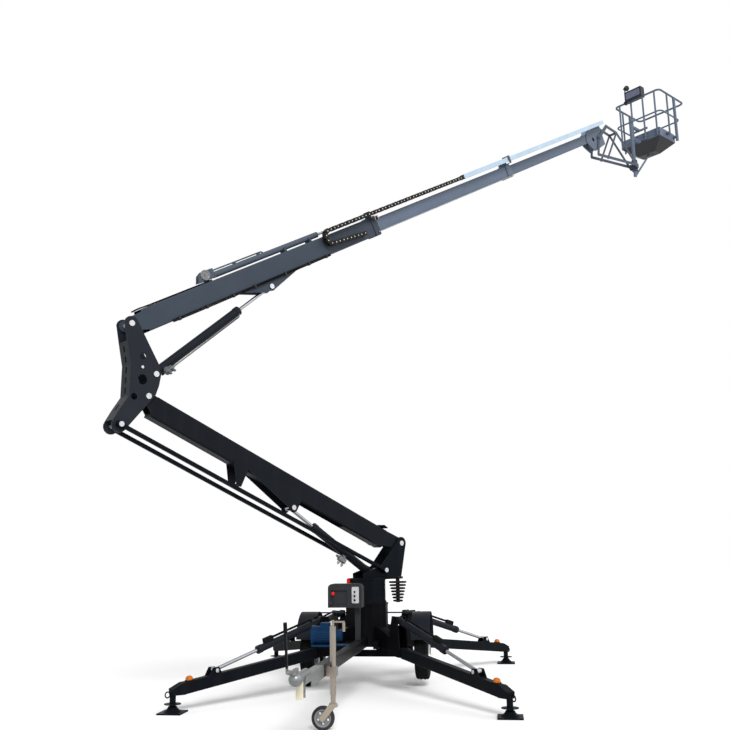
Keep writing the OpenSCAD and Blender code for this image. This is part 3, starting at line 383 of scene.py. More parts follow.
def weather_group():
    """Slow tone changes, streaks that run down, and a fine grain, all from Object coordinates."""
    tree, t, given, out = group_tree("weathering", [("Scale", 3.0)], ["Tone", "Streak", "Grain"])
    place = t.place()
    drawn = t.add("ShaderNodeMapping", {"Vector": place, "Scale": (1.0, 1.0, 0.12)}).outputs[0]
    tone = t.noise(place, given.outputs["Scale"])
    streak = t.between(t.noise(drawn, scale=9.0), 0.0, 1.0, start=0.48, end=0.72)
    grain = t.noise(place, scale=420.0, detail=2.0)
    for title, value in (("Tone", tone), ("Streak", streak), ("Grain", grain)):
        t.feed(value, out, title)
    return tree


def wear_group():
    """Edges, found where a rounded normal leaves the true one, broken up by noise."""
    tree, t, given, out = group_tree("edge wear", [("Width", 0.004)], ["Edge"])
    soft = t.add("ShaderNodeBevel", {"Radius": given.outputs["Width"]}, samples=4).outputs[0]
    true = t.add("ShaderNodeNewGeometry").outputs["Normal"]
    same = t.add("ShaderNodeVectorMath", {0: soft, 1: true}, operation="DOT_PRODUCT").outputs["Value"]
    broken = t.between(t.noise(t.place(), scale=26.0, detail=6.0), 0.0, 1.0, start=0.35, end=0.65)
    edge = t.between(same, 1.0, 0.0, start=0.80, end=0.99)
    worn = t.add("ShaderNodeMath", {0: edge, 1: broken}, operation="MULTIPLY").outputs[0]
    t.feed(worn, out, "Edge")
    return tree


def spangle_group():
    """Zinc crystals: cells of unlike grey, and their borders for a faint relief."""
    tree, t, given, out = group_tree("zinc spangle", [("Scale", 60.0)], ["Tone", "Relief"])
    cells = t.add("ShaderNodeTexVoronoi", {"Vector": t.place(), "Scale": given.outputs["Scale"]})
    tone = t.add("ShaderNodeSeparateColor", {"Color": cells.outputs["Color"]}).outputs[0]
    t.feed(tone, out, "Tone")
    t.feed(cells.outputs["Distance"], out, "Relief")
    return tree


def colour(rgb):
    """The colour with full opacity."""
    return (rgb[0], rgb[1], rgb[2], 1.0)


def scaled(rgb, factor):
    """The colour made lighter or darker."""
    return tuple(min(1.0, channel * factor) for channel in rgb)


def new_material(name, rough, metallic=0.0, coat=0.0, gloss=0.1):
    """A new material with its tree and its shader."""
    material = bpy.data.materials.new(name)
    material.use_nodes = True
    t = Tree(material.node_tree)
    shader = material.node_tree.nodes["Principled BSDF"]
    for key, value in (("Metallic", metallic), ("Roughness", rough), ("Coat Weight", coat),
                       ("Coat Roughness", COAT_ROUGH), ("Specular IOR Level", gloss)):
        t.feed(value, shader, key)
    return material, t, shader


def reopened(material):
    """The material's tree and shader again, and the colour that it has so far."""
    shader = material.node_tree.nodes["Principled BSDF"]
    return Tree(material.node_tree), shader, shader.inputs["Base Color"].links[0].from_socket


class Finishes:
    """The object's materials, each made once."""

    def __init__(self, colours):
        self.weather = weather_group()
        self.wear = wear_group()
        self.spangle = spangle_group()
        self.boom = self.paint("boom paint", colours.boom, gloss=0.06)
        # painted light and shade: the slate parts share one paint; the lighter copies for the upper booms,
        # knuckle, tip carrier and basket stand for light and reflections, and the darker ones for the lower boom,
        # turret, legs and tie rods stand for shade
        self.upper = self.paint("upper boom paint, lightened as painted reflection", colours.upper, rough=0.38)
        self.far = self.paint("inner boom paint, lightened as painted reflection", colours.far)
        self.middle = self.paint("middle boom paint, lightened as painted reflection", scaled(colours.far, 1.15))
        self.basket = self.paint("basket paint, lightened as painted reflection", scaled(colours.far, 1.2))
        self.tip = self.paint("tip carrier paint, lightened as painted reflection", scaled(colours.far, 0.6), gloss=0.08)
        # painted shade on the underside of the basket floor
        self.pan = self.shade_painted_below("basket pan paint with painted shade below", scaled(colours.far, 1.2), UNDERSIDE_SHADE)
        self.knuckle_painted_light = self.paint("knuckle paint, lightened as painted reflection", scaled(colours.boom, 1.35), gloss=0.08)
        self.lower_boom_painted_shade = self.paint("lower boom paint, darkened as painted shade", scaled(colours.boom, 0.68), rough=0.42, gloss=0.045,
                               dust=0.15)
        self.low = self.paint("turret paint, darkened as painted shade", colours.low, rough=0.45, gloss=0.035, dust=0.15)
        self.black = self.paint("chassis paint", colours.black, rough=0.45, gloss=0.03)
        self.motor = self.paint("motor paint", colours.motor, gloss=0.06, dust=0.1)
        self.cream = self.paint("cream paint", (0.60, 0.55, 0.42), rough=0.5, dust=0.5)
        self.cylinder = self.paint("telescope barrel paint", (0.055, 0.070, 0.092), rough=0.35, dust=0.1)
        self.carrier = self.metal("pale carrier", (0.36, 0.46, 0.56), rough=0.42, metallic=0.1)
        self.galvanised = self.zinc_coat("galvanised steel", (0.24, 0.245, 0.25), scale=55.0)
        self.tan = self.metal("yellowed zinc", (0.30, 0.265, 0.225), rough=0.34, metallic=0.85)
        self.fork = self.paint("fork paint", (0.27, 0.235, 0.185), rough=0.5, dust=0.4)
        self.zinc = self.zinc_coat("zinc plate", (0.50, 0.51, 0.52), scale=160.0)
        self.dull = self.zinc_coat("dull zinc", (0.17, 0.175, 0.18), scale=160.0)
        self.chrome = self.metal("chrome rod", (0.31, 0.32, 0.34), rough=0.14, metallic=1.0)
        self.rope = self.strands("wire rope", (0.30, 0.31, 0.33))
        self.tyre = self.rubber("tyre rubber", RUBBER)
        self.hose = self.rubber("hose rubber", RUBBER)
        self.chain = self.plastic("chain plastic", (0.012, 0.010, 0.009))
        self.box = self.plastic("box plastic", (0.022, 0.023, 0.026), rough=0.45)
        self.pale = self.plastic("pale panel", (0.42, 0.43, 0.44))
        self.slate = self.plastic("slate panel", (0.115, 0.125, 0.185))
        self.red = self.plastic("red plastic", colours.red, rough=0.3)
        self.orange = self.lens("orange lens", colours.orange)
        self.roller = self.wheel("jockey wheel rubber and hub", "jockey_spin", hub_r=0.082)
        paint_ends = PAINT_ENDS_X + float(SLEW @ TRAILER_X)
        self.drawbar = self.half_painted("drawbar steel", TRAILER_X, paint_ends, colours.black)
        self.coupling = self.half_painted("coupling steel", -UP, -LEVER_FROM_Z, colours.black)

    def paint(self, name, rgb, rough=0.4, gloss=0.1, dust=0.2):
        """Sprayed paint: two tones, dust in streaks, pale worn edges and a fine orange peel."""
        material, t, shader = new_material(name, rough, gloss=gloss)
        weather = t.group(self.weather, Scale=2.2)
        edge = t.group(self.wear, Width=0.005)
        body = t.blend(weather["Tone"], colour(scaled(rgb, 0.8)), colour(scaled(rgb, 1.25)))
        dusty = t.blend(t.between(weather["Streak"], 0.0, dust * 0.25), body, DUST)
        bare = colour(scaled([channel + 0.010 for channel in rgb], 2.5))
        worn = t.blend(t.between(edge["Edge"], 0.0, 0.45), dusty, bare)
        t.feed(worn, shader, "Base Color")
        t.feed(t.between(weather["Tone"], rough - 0.08, rough + 0.12, start=0.3, end=0.7), shader, "Roughness")
        t.bump(shader, weather["Grain"], 0.0004)
        return material

    def shade_painted_below(self, name, rgb, below):
        """Paint whose faces that look down are darkened to a painted shade."""
        material = self.paint(name, rgb)
        t, shader, painted = reopened(material)
        # painted shade: faces that look down take the dark colour below, for the shade under the basket floor
        facing = t.add("ShaderNodeNewGeometry").outputs["Normal"]
        height = t.add("ShaderNodeSeparateXYZ", {"Vector": facing}).outputs["Z"]
        down = t.between(height, 1.0, 0.0, start=-0.6, end=-0.4)
        t.feed(t.blend(down, painted, colour(below)), shader, "Base Color")
        return material

    def metal(self, name, rgb, rough, metallic):
        """Smooth metal with faint tone and roughness changes."""
        material, t, shader = new_material(name, rough, metallic)
        weather = t.group(self.weather, Scale=5.0)
        body = t.blend(weather["Tone"], colour(scaled(rgb, 0.85)), colour(scaled(rgb, 1.12)))
        t.feed(body, shader, "Base Color")
        t.feed(t.between(weather["Streak"], rough * 0.8, rough * 1.6), shader, "Roughness")
        t.bump(shader, weather["Grain"], 0.0001, strength=0.3)
        return material

    def zinc_coat(self, name, rgb, scale):
        """Zinc: crystals of unlike grey with a faint relief."""
        material, t, shader = new_material(name, rough=0.4, metallic=0.75)
        cells = t.group(self.spangle, Scale=scale)
        weather = t.group(self.weather, Scale=4.0)
        body = t.blend(cells["Tone"], colour(scaled(rgb, 0.75)), colour(scaled(rgb, 1.2)))
        dull = t.blend(t.between(weather["Streak"], 0.0, 0.35), body, colour(scaled(rgb, 0.6)))
        t.feed(dull, shader, "Base Color")
        t.feed(t.between(cells["Tone"], 0.32, 0.5), shader, "Roughness")
        t.bump(shader, cells["Relief"], 0.0002, strength=0.25)
        return material

    def strands(self, name, rgb):
        """Wire rope: slanting bands across the boom's direction."""
        material, t, shader = new_material(name, rough=0.45, metallic=0.8)
        lean = math.atan2(TELE_DIR[2], TELE_DIR[0])
        turned = t.add("ShaderNodeMapping", {"Vector": t.place(), "Rotation": (0.0, lean, 0.6)}).outputs[0]
        bands = t.add("ShaderNodeTexWave", {"Vector": turned, "Scale": 55.0, "Distortion": 0.0}).outputs[1]
        body = t.blend(bands, colour(scaled(rgb, 0.5)), colour(scaled(rgb, 1.3)))
        t.feed(body, shader, "Base Color")
        t.bump(shader, bands, 0.001)
        return material

    def rubber(self, name, rgb):
        """Black rubber with grey dust in its tone and a dull grain."""
        material, t, shader = new_material(name, rough=0.72, gloss=0.04)
        weather = t.group(self.weather, Scale=8.0)
        dusty = t.between(weather["Tone"], 0.0, 0.7, start=0.35, end=0.7)
        body = t.blend(dusty, colour(rgb), RUBBER_DUST)
        t.feed(body, shader, "Base Color")
        t.feed(t.between(weather["Tone"], 0.6, 0.85), shader, "Roughness")
        t.bump(shader, weather["Grain"], 0.0006)
        return material

    def wheel(self, name, joint, hub_r):
        """Rubber outside a radius about the wheel's axle, grey plastic inside it."""
        material = self.rubber(name, PALE_RUBBER)
        t, shader, rubber = reopened(material)
        hub, axle = JOINTS[joint]["pos_m"], JOINTS[joint]["axis"]
        arm = t.add("ShaderNodeVectorMath", {0: t.place(), 1: hub}, operation="SUBTRACT").outputs[0]
        turned = t.add("ShaderNodeVectorMath", {0: arm, 1: axle}, operation="CROSS_PRODUCT").outputs[0]
        radius = t.add("ShaderNodeVectorMath", {0: turned}, operation="LENGTH").outputs["Value"]
        inside = t.between(radius, 1.0, 0.0, hub_r - HUB_EDGE, hub_r + HUB_EDGE)
        t.feed(t.blend(inside, rubber, HUB_GREY), shader, "Base Color")
        return material

    def half_painted(self, name, direction, line, rgb):
        """Bare galvanised steel beyond a line along the direction, paint before it."""
        material = self.zinc_coat(name, BARE_STEEL, scale=70.0)
        t, shader, steel = reopened(material)
        along = t.add("ShaderNodeVectorMath", {0: t.place(), 1: direction},
                      operation="DOT_PRODUCT").outputs["Value"]
        bare = t.between(along, 0.0, 1.0, line - PAINT_EDGE, line + PAINT_EDGE)
        t.feed(t.blend(bare, colour(rgb), steel), shader, "Base Color")
        t.feed(t.between(bare, 0.0, 0.75), shader, "Metallic")
        return material

    def plastic(self, name, rgb, rough=0.5):
        """Moulded plastic: an even colour with a light texture and some scuffs."""
        material, t, shader = new_material(name, rough)
        weather = t.group(self.weather, Scale=11.0)
        body = t.blend(weather["Tone"], colour(scaled(rgb, 0.85)), colour(scaled(rgb, 1.2)))
        t.feed(body, shader, "Base Color")
        t.feed(t.between(weather["Streak"], rough, rough + 0.2), shader, "Roughness")
        t.bump(shader, weather["Grain"], 0.0003)
        return material

    def lens(self, name, rgb):
        """Moulded reflector: small prisms under a glossy coat."""
        material, t, shader = new_material(name, rough=0.25, coat=0.15)
        cells = t.group(self.spangle, Scale=240.0)
        body = t.blend(cells["Tone"], colour(scaled(rgb, 0.6)), colour(scaled(rgb, 1.1)))
        t.feed(body, shader, "Base Color")
        t.bump(shader, cells["Relief"], 0.001)
        return material


FINISH = {}


def finishes():
    """The materials, made at the first call."""
    if "set" not in FINISH:
        FINISH["set"] = Finishes(bpy.context.scene.lift_colours)
    return FINISH["set"]


# operators


class LIFT_OT_paint_frame(bpy.types.Operator):
    """Give each CAD node its finish"""

    bl_idname = "lift.paint_frame"
    bl_label = "Paint the frame"

    def execute(self, context):
        f = finishes()
        by_slot = {
            "boom_paint": f.boom, "black_paint": f.black, "galvanised": f.galvanised, "zinc": f.zinc,
            "chrome": f.chrome, "tyre": f.tyre, "motor_blue": f.motor, "box_grey": f.box,
            "chain_black": f.chain, "cylinder_paint": f.cylinder, "carrier_pale": f.carrier,
            "rope_steel": f.rope, "fork_cream": f.cream, "basket_metal": f.basket, "roller_rubber": f.roller}
        # the slate parts take lit and shaded copies of one paint: painted reflection on the knuckle, upper booms,
        # tip carrier and basket, and painted shade on the lower boom, turret, legs and tie rods
        by_node = {
            "turret": f.low, "outrigger_legs": f.low, "tie_rods": f.low, "lower_boom": f.lower_boom_painted_shade,
            "knuckle": f.knuckle_painted_light, "base_boom": f.upper, "mid_boom": f.middle, "inner_boom": f.far,
            "tip_carrier": f.tip, "basket_floor": f.pan, "mudguards": f.boom, "drawbar": f.drawbar,
            "coupling": f.coupling, "jockey_tube": f.tan, "jockey_fork": f.fork}
        for entry in frame["record"]["subparts"]:
            node = frame["nodes"][entry["node"]]
            node.data.materials.clear()
            node.data.materials.append(by_node.get(entry["node"], by_slot[entry["material_slot"]]))
        return {"FINISHED"}


# road tyre: points around the axle and around the section, how square the section is, how much it narrows
# at most, and the angle around it where it keeps its width
TYRE_STEPS, SECTION_STEPS = 240, 72
TYRE_SQUARE, TYRE_NARROWS, TYRE_WIDEST = 0.55, 0.14, 0.5
# tread: how far below the crown it begins, how deep it sets in, its share of the half width
TREAD_BEGINS, TREAD_SETS_IN, TREAD_SHARE = 0.022, 0.010, 0.93
# grooves around it, as shares of the half width, and their half width
GROOVES, GROOVE_HALF = np.array([-0.45, 0.0, 0.45]), 0.004
# sipes across it: how many, their slant and half breadth in pitches, and where on the half width they begin
SIPES, SIPE_SLANT, SIPE_HALF, SIPE_BEGINS = 48, 2.2, 0.1, 0.2


class LIFT_OT_tyres(bpy.types.Operator):
    """Make road tyres with tread, one on each wheel"""

    bl_idname = "lift.tyres"
    bl_label = "Tyres"

    def execute(self, context):
        sizes = context.scene.lift_sizes
        for side in ("left", "right"):
            spin = JOINTS[f"wheel_{side}_spin"]
            low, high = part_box(f"tyre_{side}")
            outer = (high.z - low.z) / 2
            shape = self.tyre(outer, sizes.tyre_width, outer - sizes.tyre_height, sizes.tread_depth)
            axes = np.stack([TRAILER_X, UP, -TRAILER_Y])
            tyre = add_piece(f"road_tyre_{side}", copies(shape, spin["pos_m"], axes), finishes().tyre,
                             f"wheel_{side}")
            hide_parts(f"tyre_{side}")
        return {"FINISHED"}

    def tyre(self, outer, width, inner, depth):
        """A closed section r(v), y(v) turned about the axle. Its tread loses depth in three grooves around it
        and in slanting sipes across it."""
        v = np.linspace(0, 2 * np.pi, SECTION_STEPS, endpoint=False)
        a = np.linspace(0, 2 * np.pi, TYRE_STEPS, endpoint=False)
        a, v = np.meshgrid(a, v, indexing="ij")
        half_h, half_w = (outer - inner) / 2, width / 2

        def squared(x):
            return np.sign(x) * np.abs(x) ** TYRE_SQUARE

        r = (outer + inner) / 2 + half_h * squared(np.cos(v))
        y = half_w * squared(np.sin(v)) * (1 - TYRE_NARROWS * np.sin(v - TYRE_WIDEST) ** 2)
        on_tread = np.clip((r - outer + TREAD_BEGINS) / TREAD_SETS_IN, 0, 1)
        on_tread = on_tread * (np.abs(y) < half_w * TREAD_SHARE)
        rings = np.min(np.abs(y[..., None] - half_w * GROOVES), -1) < GROOVE_HALF
        sipes = np.abs(np.mod(a * SIPES / (2 * np.pi) + y / width * SIPE_SLANT, 1) - 0.5) < SIPE_HALF
        r = r - depth * on_tread * (rings | (sipes & (np.abs(y) > half_w * SIPE_BEGINS)))
        points = np.stack([r * np.cos(a), r * np.sin(a), y], -1)
        return points.reshape(-1, 3), grid_faces(TYRE_STEPS, SECTION_STEPS, close_rows=True, close_cols=True)


# energy chain: near face of its links, where its bend is centred, heights of its runs, the bend's radius
CHAIN_FACE, CHAIN_START, CHAIN_TOP, CHAIN_LOW, CHAIN_BEND = -0.1795, 3.371, 0.162, -0.030, 0.096
# how far every other link stands back, and the lower run's fall from link to link
CHAIN_LAP, CHAIN_FALL = 0.004, 0.005
TOP_LINKS, BEND_LINKS, LOW_LINKS = 44, 4, 9
# turned pieces are given as (radius, height) pairs from the top down
CHAIN_PIN = [(0, 0.004), (0.006, 0.0036), (0.0085, 0.0015), (0.009, -0.001), (0, -0.001)]


class LIFT_OT_chain_pins(bpy.types.Operator):
    """Set a bright pin on each link of the energy chain"""

    bl_idname = "lift.chain_pins"
    bl_label = "Chain pins"

    def execute(self, context):
        pitch = context.scene.lift_sizes.chain_pitch
        i = np.arange(TOP_LINKS)
        upper = np.stack([CHAIN_START + (i + 0.5) * pitch, CHAIN_FACE + ((i + 1) % 2) * CHAIN_LAP,
                          0 * i + CHAIN_TOP], -1)
        i = np.arange(LOW_LINKS)
        lower = np.stack([CHAIN_START + (i + 0.5) * pitch, CHAIN_FACE + (i % 2) * CHAIN_LAP,
                          CHAIN_LOW - CHAIN_FALL * i], -1)
        i = np.arange(BEND_LINKS)
        turn = np.pi / 2 + (i + 0.5) * np.pi / BEND_LINKS
        round_end = np.stack([CHAIN_START + CHAIN_BEND * np.cos(turn), CHAIN_FACE + (i % 2) * CHAIN_LAP,
                              (CHAIN_TOP + CHAIN_LOW) / 2 + CHAIN_BEND * np.sin(turn)], -1)
        places = on_tele(np.concatenate([upper, round_end, lower]))
        pins = copies(lathe(CHAIN_PIN, sides=16), places, NEAR_AXES)
        add_piece("chain_pins", pins, finishes().zinc, "mid_boom")
        return {"FINISHED"}


# flat pieces are given by length, width and height, places on the trailer as for on_trailer
GROUND_PANEL, GROUND_PANEL_AT = (0.09, 0.20, 0.006), [0.853, -0.02, 1.17]
LEVER = [(0, 0.075), (0.011, 0.072), (0.013, 0.060), (0.005, 0.05), (0.005, 0), (0, 0)]
LEVERS_AT = [[0.853, -0.02, height] for height in (1.11, 1.16, 1.21)]
STOP_BUTTON = [(0, 0.034), (0.014, 0.033), (0.021, 0.028), (0.023, 0.018), (0.014, 0.012), (0.014, 0), (0, 0)]
STOP_BUTTON_AT = [0.851, -0.30, 1.19]
COUPLING_PLATE, COUPLING_PLATE_AT = (0.068, 0.20, 0.006), [4.10, 0.0, 0.53]
# the basket's panel lies off the middle of its box
BASKET_PANEL, BASKET_PANEL_Y, BASKET_PANEL_DROP = (0.34, 0.15, 0.008), 0.04, 0.1
LOCK_CAP, LOCK_CAP_POWER, LOCK_CAP_AT = (0.034, 0.048, 0.085), 0.35, [-0.258, 0.072, 1.312]
KNOB = [(0, 0.055), (0.022, 0.053), (0.030, 0.044), (0.030, 0.020), (0.014, 0.014), (0.014, -0.02), (0, -0.02)]
# which way the knob faces, its distance from the slew axis, and its height
KNOB_OUT, KNOB_FROM_SLEW, KNOB_Z = np.array([0.825, -0.565, 0.0]), 0.285, 1.018


class LIFT_OT_controls(bpy.types.Operator):
    """Fit panels, levers and red knobs to the control boxes and turret, and a plate to the coupling"""

    bl_idname = "lift.controls"
    bl_label = "Controls"

    def execute(self, context):
        f = finishes()
        panel = copies(soft_box(*GROUND_PANEL), on_trailer(GROUND_PANEL_AT), AHEAD_AXES)
        add_piece("ground_panel", panel, f.pale, "chassis")
        button = copies(lathe(STOP_BUTTON), on_trailer(STOP_BUTTON_AT), AHEAD_AXES)
        add_piece("stop_button", button, f.red, "chassis")
        levers = copies(lathe(LEVER, sides=20), on_trailer(LEVERS_AT), AHEAD_AXES)
        add_piece("ground_levers", levers, f.hose, "chassis")
        low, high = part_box("basket_box")
        middle = np.array([low.x, BASKET_PANEL_Y, (low.z + high.z) / 2 - BASKET_PANEL_DROP])
        cover = copies(soft_box(*BASKET_PANEL), middle, np.stack([ACROSS, UP, [-1.0, 0.0, 0.0]]))
        add_piece("basket_panel", cover, f.slate, "basket")
        self.red_parts(f)
        plate = copies(soft_box(*COUPLING_PLATE), on_trailer(COUPLING_PLATE_AT), AHEAD_AXES)
        add_piece("coupling_plate", plate, f.cream, "chassis")
        return {"FINISHED"}

    def red_parts(self, f):
        """The slewing lock's cap at the drum, and the isolator knob at the rim of the pedestal."""
        cap = copies(soft_box(*LOCK_CAP, LOCK_CAP_POWER), SLEW + LOCK_CAP_AT, np.eye(3))
        add_piece("lock_cap", cap, f.red, "turret")
        axes = np.stack([[-KNOB_OUT[1], KNOB_OUT[0], 0.0], UP, KNOB_OUT]) @ TRAILER_AXES
        knob = copies(lathe(KNOB), on_trailer(KNOB_OUT * KNOB_FROM_SLEW + KNOB_Z * UP), axes)
        add_piece("isolator_knob", knob, f.red, "chassis")


# places on a leg are out along it from the slew axis, across it and above the floor
LEG_DROP, LEG_RUN = 0.23, 2.01
LEG_FALL = math.atan2(LEG_DROP, LEG_RUN)
LAMP_AT = np.array([2.73, 0.0, 0.322])
LAMP_DOME = [(0, 0.050), (0.018, 0.048), (0.032, 0.040), (0.040, 0.026), (0.042, 0.010), (0.042, 0.004),
             (0, 0.004)]
LAMP_BASE = [(0, 0.006), (0.048, 0.006), (0.050, 0.003), (0.050, -0.006), (0, -0.006)]
LEG_PIN_AT = np.array([2.408, 0.0705, 0.3997])
LEG_PIN_HEAD = [(0, 0.007), (0.016, 0.007), (0.021, 0.004), (0.021, -0.002), (0, -0.002)]


class LIFT_OT_lamps(bpy.types.Operator):
    """Fit an amber lamp on top of each leg, and heads to the pins of its cylinder"""

    bl_idname = "lift.lamps"
    bl_label = "Leg lamps"

    def execute(self, context):
        f = finishes()
        c, s = math.cos(LEG_FALL), math.sin(LEG_FALL)
        tilt = np.array([[c, 0, -s], [0, 1, 0], [s, 0, c]])
        centres = np.array([SLEW + LAMP_AT @ leg_axes(corner) for corner in CORNERS])
        axes = np.array([tilt @ leg_axes(corner) for corner in CORNERS])
        add_piece("leg_lamps", copies(lathe(LAMP_DOME), centres, axes), f.orange, "chassis")
        add_piece("leg_lamp_bases", copies(lathe(LAMP_BASE), centres, axes), f.hose, "chassis")
        self.pin_heads(f)
        return {"FINISHED"}

    def pin_heads(self, f):
        """A bright turned head on both ends of each leg's cylinder pin."""
        head = lathe(LEG_PIN_HEAD, sides=24)
        heads = []
        for corner in CORNERS:
            for side in (1.0, -1.0):
                rows = np.array([[1.0, 0, 0], [0, 0, side], [0, -side, 0]])
                centre = SLEW + LEG_PIN_AT * [1.0, -side, 1.0] @ leg_axes(corner)
                heads.append(copies(head, centre, rows @ leg_axes(corner)))
        add_piece("leg_pin_heads", joined(*heads), f.zinc, "chassis")


# lift cylinders: places along the cylinder from its base pin, across it and above its middle line
UPPER_VALVE_AT, LOWER_VALVE_AT = np.array([0.175, 0.0, -0.112]), np.array([0.53, -0.02, -0.112])
UPPER_PIPE = [[0.28, -0.096, -0.056], [0.40, -0.092, -0.055], [0.95, -0.084, -0.050], [1.38, -0.082, -0.048],
              [1.455, -0.076, -0.044], [1.48, -0.055, -0.030], [1.482, -0.042, -0.022]]
# valve: its block, the saddle over it, its fittings below and at one end
VALVE_BLOCK, VALVE_SADDLE, VALVE_SADDLE_AT = (0.12, 0.062, 0.060), (0.06, 0.05, 0.05), [0, 0, 0.042]
NUT = [(0, 0.052), (0.010, 0.052), (0.011, 0.036), (0.017, 0.034), (0.017, 0.012), (0.012, 0.010),
       (0.012, -0.004), (0, -0.004)]
NUTS_BELOW, NUT_AHEAD = [[-0.035, 0, -0.028], [0.03, 0, -0.028]], [0.058, 0, 0.004]
# telescope, with places as for on_tele
TELE_PIPE = [[1.36, 0, 0.232], [1.76, 0, 0.231], [2.18, 0, 0.231], [2.235, 0, 0.226], [2.262, 0, 0.208]]
SHEAVE_AT = [1.245, -0.0415, 0.208]
SHEAVE = [(0, 0.012), (0.014, 0.012), (0.016, 0.004), (0.044, 0.004), (0.050, 0.009), (0.066, 0.009),
          (0.060, 0.002), (0.066, -0.006), (0, -0.006)]
# outrigger cylinder: upper pin as a place on the leg, run out and down, and length
LEG_CYLINDER_AT = np.array([0.80, 0.0, 0.85])
LEG_CYLINDER_OUT, LEG_CYLINDER_DOWN, LEG_CYLINDER_LENGTH = 1.608, 0.45, 1.67
# its pipe and block: along it from that pin, across it and above its middle line
LEG_PIPE = [[0.16, 0, 0.047], [0.19, 0, 0.066], [0.30, 0, 0.070], [0.80, 0, 0.070]]
LEG_BLOCK, LEG_BLOCK_AT = (0.14, 0.05, 0.06), np.array([0.86, 0.0, 0.066])
# lines over the base section and along its lower edge: along the boom, above its pivot line
LINE_OVER = np.array([[0.10, 0.118], [0.20, 0.126], [0.34, 0.122], [0.80, 0.121], [1.18, 0.121], [1.30, 0.122]])
LINE_UNDER = np.array([[0.52, -0.150], [1.0, -0.152], [2.0, -0.150], [3.28, -0.150]])
# each line's route, its place across the boom, and how much higher it lies
LINES = [(LINE_OVER, -0.055, 0.0), (LINE_OVER, -0.030, 0.002), (LINE_UNDER, -0.0985, 0.0),
         (LINE_UNDER, -0.0985, -0.019)]
TOP_CLIP, TOP_CLIPS_AT = (0.03, 0.066, 0.026), [[s, -0.042, 0.118] for s in (0.35, 0.75, 1.15)]
SIDE_CLIP = (0.03, 0.030, 0.050)
SIDE_CLIPS_AT = [[s, -0.095, -0.1595] for s in (0.62, 1.05, 1.48, 1.85, 2.4, 2.85, 3.2)]


class LIFT_OT_hydraulics(bpy.types.Operator):
    """Fit valve blocks, pipes and a rope sheave to the cylinders, and clipped lines to the upper boom"""

    bl_idname = "lift.hydraulics"
    bl_label = "Hydraulics"

    def execute(self, context):
        f = finishes()
        sizes = context.scene.lift_sizes
        c, s = math.cos(VALVE_TURN), math.sin(VALVE_TURN)
        beside = np.array([[1, 0, 0], [0, s, -c], [0, c, s]]) @ UPPER_AXES
        upper = copies(self.valve(), UPPER_BASE + UPPER_VALVE_AT @ beside, beside)
        add_piece("upper_valve", upper, f.dull, "upper_barrel")
        lower = copies(self.valve(), LOWER_BASE + LOWER_VALVE_AT @ LOWER_AXES, LOWER_AXES)
        add_piece("lower_valve", lower, f.dull, "lower_barrel")
        self.upper_pipe(f, sizes.lift_pipe_r)
        self.tele_fittings(f, sizes.tele_pipe_r)
        self.leg_pipes(f, sizes.leg_pipe_r)
        self.boom_lines(f, sizes.line_r)
        return {"FINISHED"}

    def valve(self):
        """A block under a saddle, with screwed fittings below and at one end."""
        nut = lathe(NUT, sides=24)
        down = np.diag([1.0, -1.0, -1.0])
        ahead = np.array([[0, 1.0, 0], [0, 0, 1.0], [1.0, 0, 0]])
        return joined(soft_box(*VALVE_BLOCK), copies(soft_box(*VALVE_SADDLE), VALVE_SADDLE_AT, np.eye(3)),
                      copies(nut, NUTS_BELOW, down), copies(nut, NUT_AHEAD, ahead))

    def upper_pipe(self, f, radius):
        """A bent steel pipe along the near side of the upper lift cylinder, from its valve to the rod end."""
        pipe = tube(UPPER_BASE + smooth_path(UPPER_PIPE, count=80) @ UPPER_AXES, radius)
        add_piece("upper_pipe", pipe, f.dull, "upper_barrel")

    def tele_fittings(self, f, radius):
        """A pipe over the telescope barrel, and the sheave on the side of its bracket."""
        pipe = tube(on_tele(smooth_path(TELE_PIPE, count=60)), radius)
        add_piece("tele_pipe", pipe, f.cylinder, "tele_barrel")
        sheave = copies(lathe(SHEAVE, sides=40), on_tele(SHEAVE_AT), NEAR_AXES)
        add_piece("rope_sheave", sheave, f.dull, "tele_barrel")

    def leg_pipes(self, f, radius):
        """A short pipe along the top of each outrigger cylinder, with a block at its lower end."""
        along = np.array([LEG_CYLINDER_OUT, 0.0, -LEG_CYLINDER_DOWN]) / LEG_CYLINDER_LENGTH
        above = np.array([LEG_CYLINDER_DOWN, 0.0, LEG_CYLINDER_OUT]) / LEG_CYLINDER_LENGTH
        rows = np.stack([along, [0, 1, 0], above])
        pipe = tube(LEG_CYLINDER_AT + smooth_path(LEG_PIPE) @ rows, radius)
        block = copies(soft_box(*LEG_BLOCK), LEG_CYLINDER_AT + LEG_BLOCK_AT @ rows, rows)
        shapes = [copies(shape, SLEW, leg_axes(corner)) for corner in CORNERS for shape in (pipe, block)]
        add_piece("leg_pipes", joined(*shapes), f.hose, "chassis")

    def boom_lines(self, f, radius):
        """Two lines over the base section and two along its lower edge, held by clips."""
        lines = []
        for route, across, lift in LINES:
            s, height = route.T
            path = smooth_path(np.stack([s, 0 * s + across, height + lift], -1), count=120)
            lines.append(tube(on_tele(path), radius))
        add_piece("boom_lines", joined(*lines), f.hose, "base_boom")
        clips = joined(copies(soft_box(*TOP_CLIP), on_tele(TOP_CLIPS_AT), TELE_AXES),
                       copies(soft_box(*SIDE_CLIP), on_tele(SIDE_CLIPS_AT), TELE_AXES))
        add_piece("line_clips", clips, f.box, "base_boom")


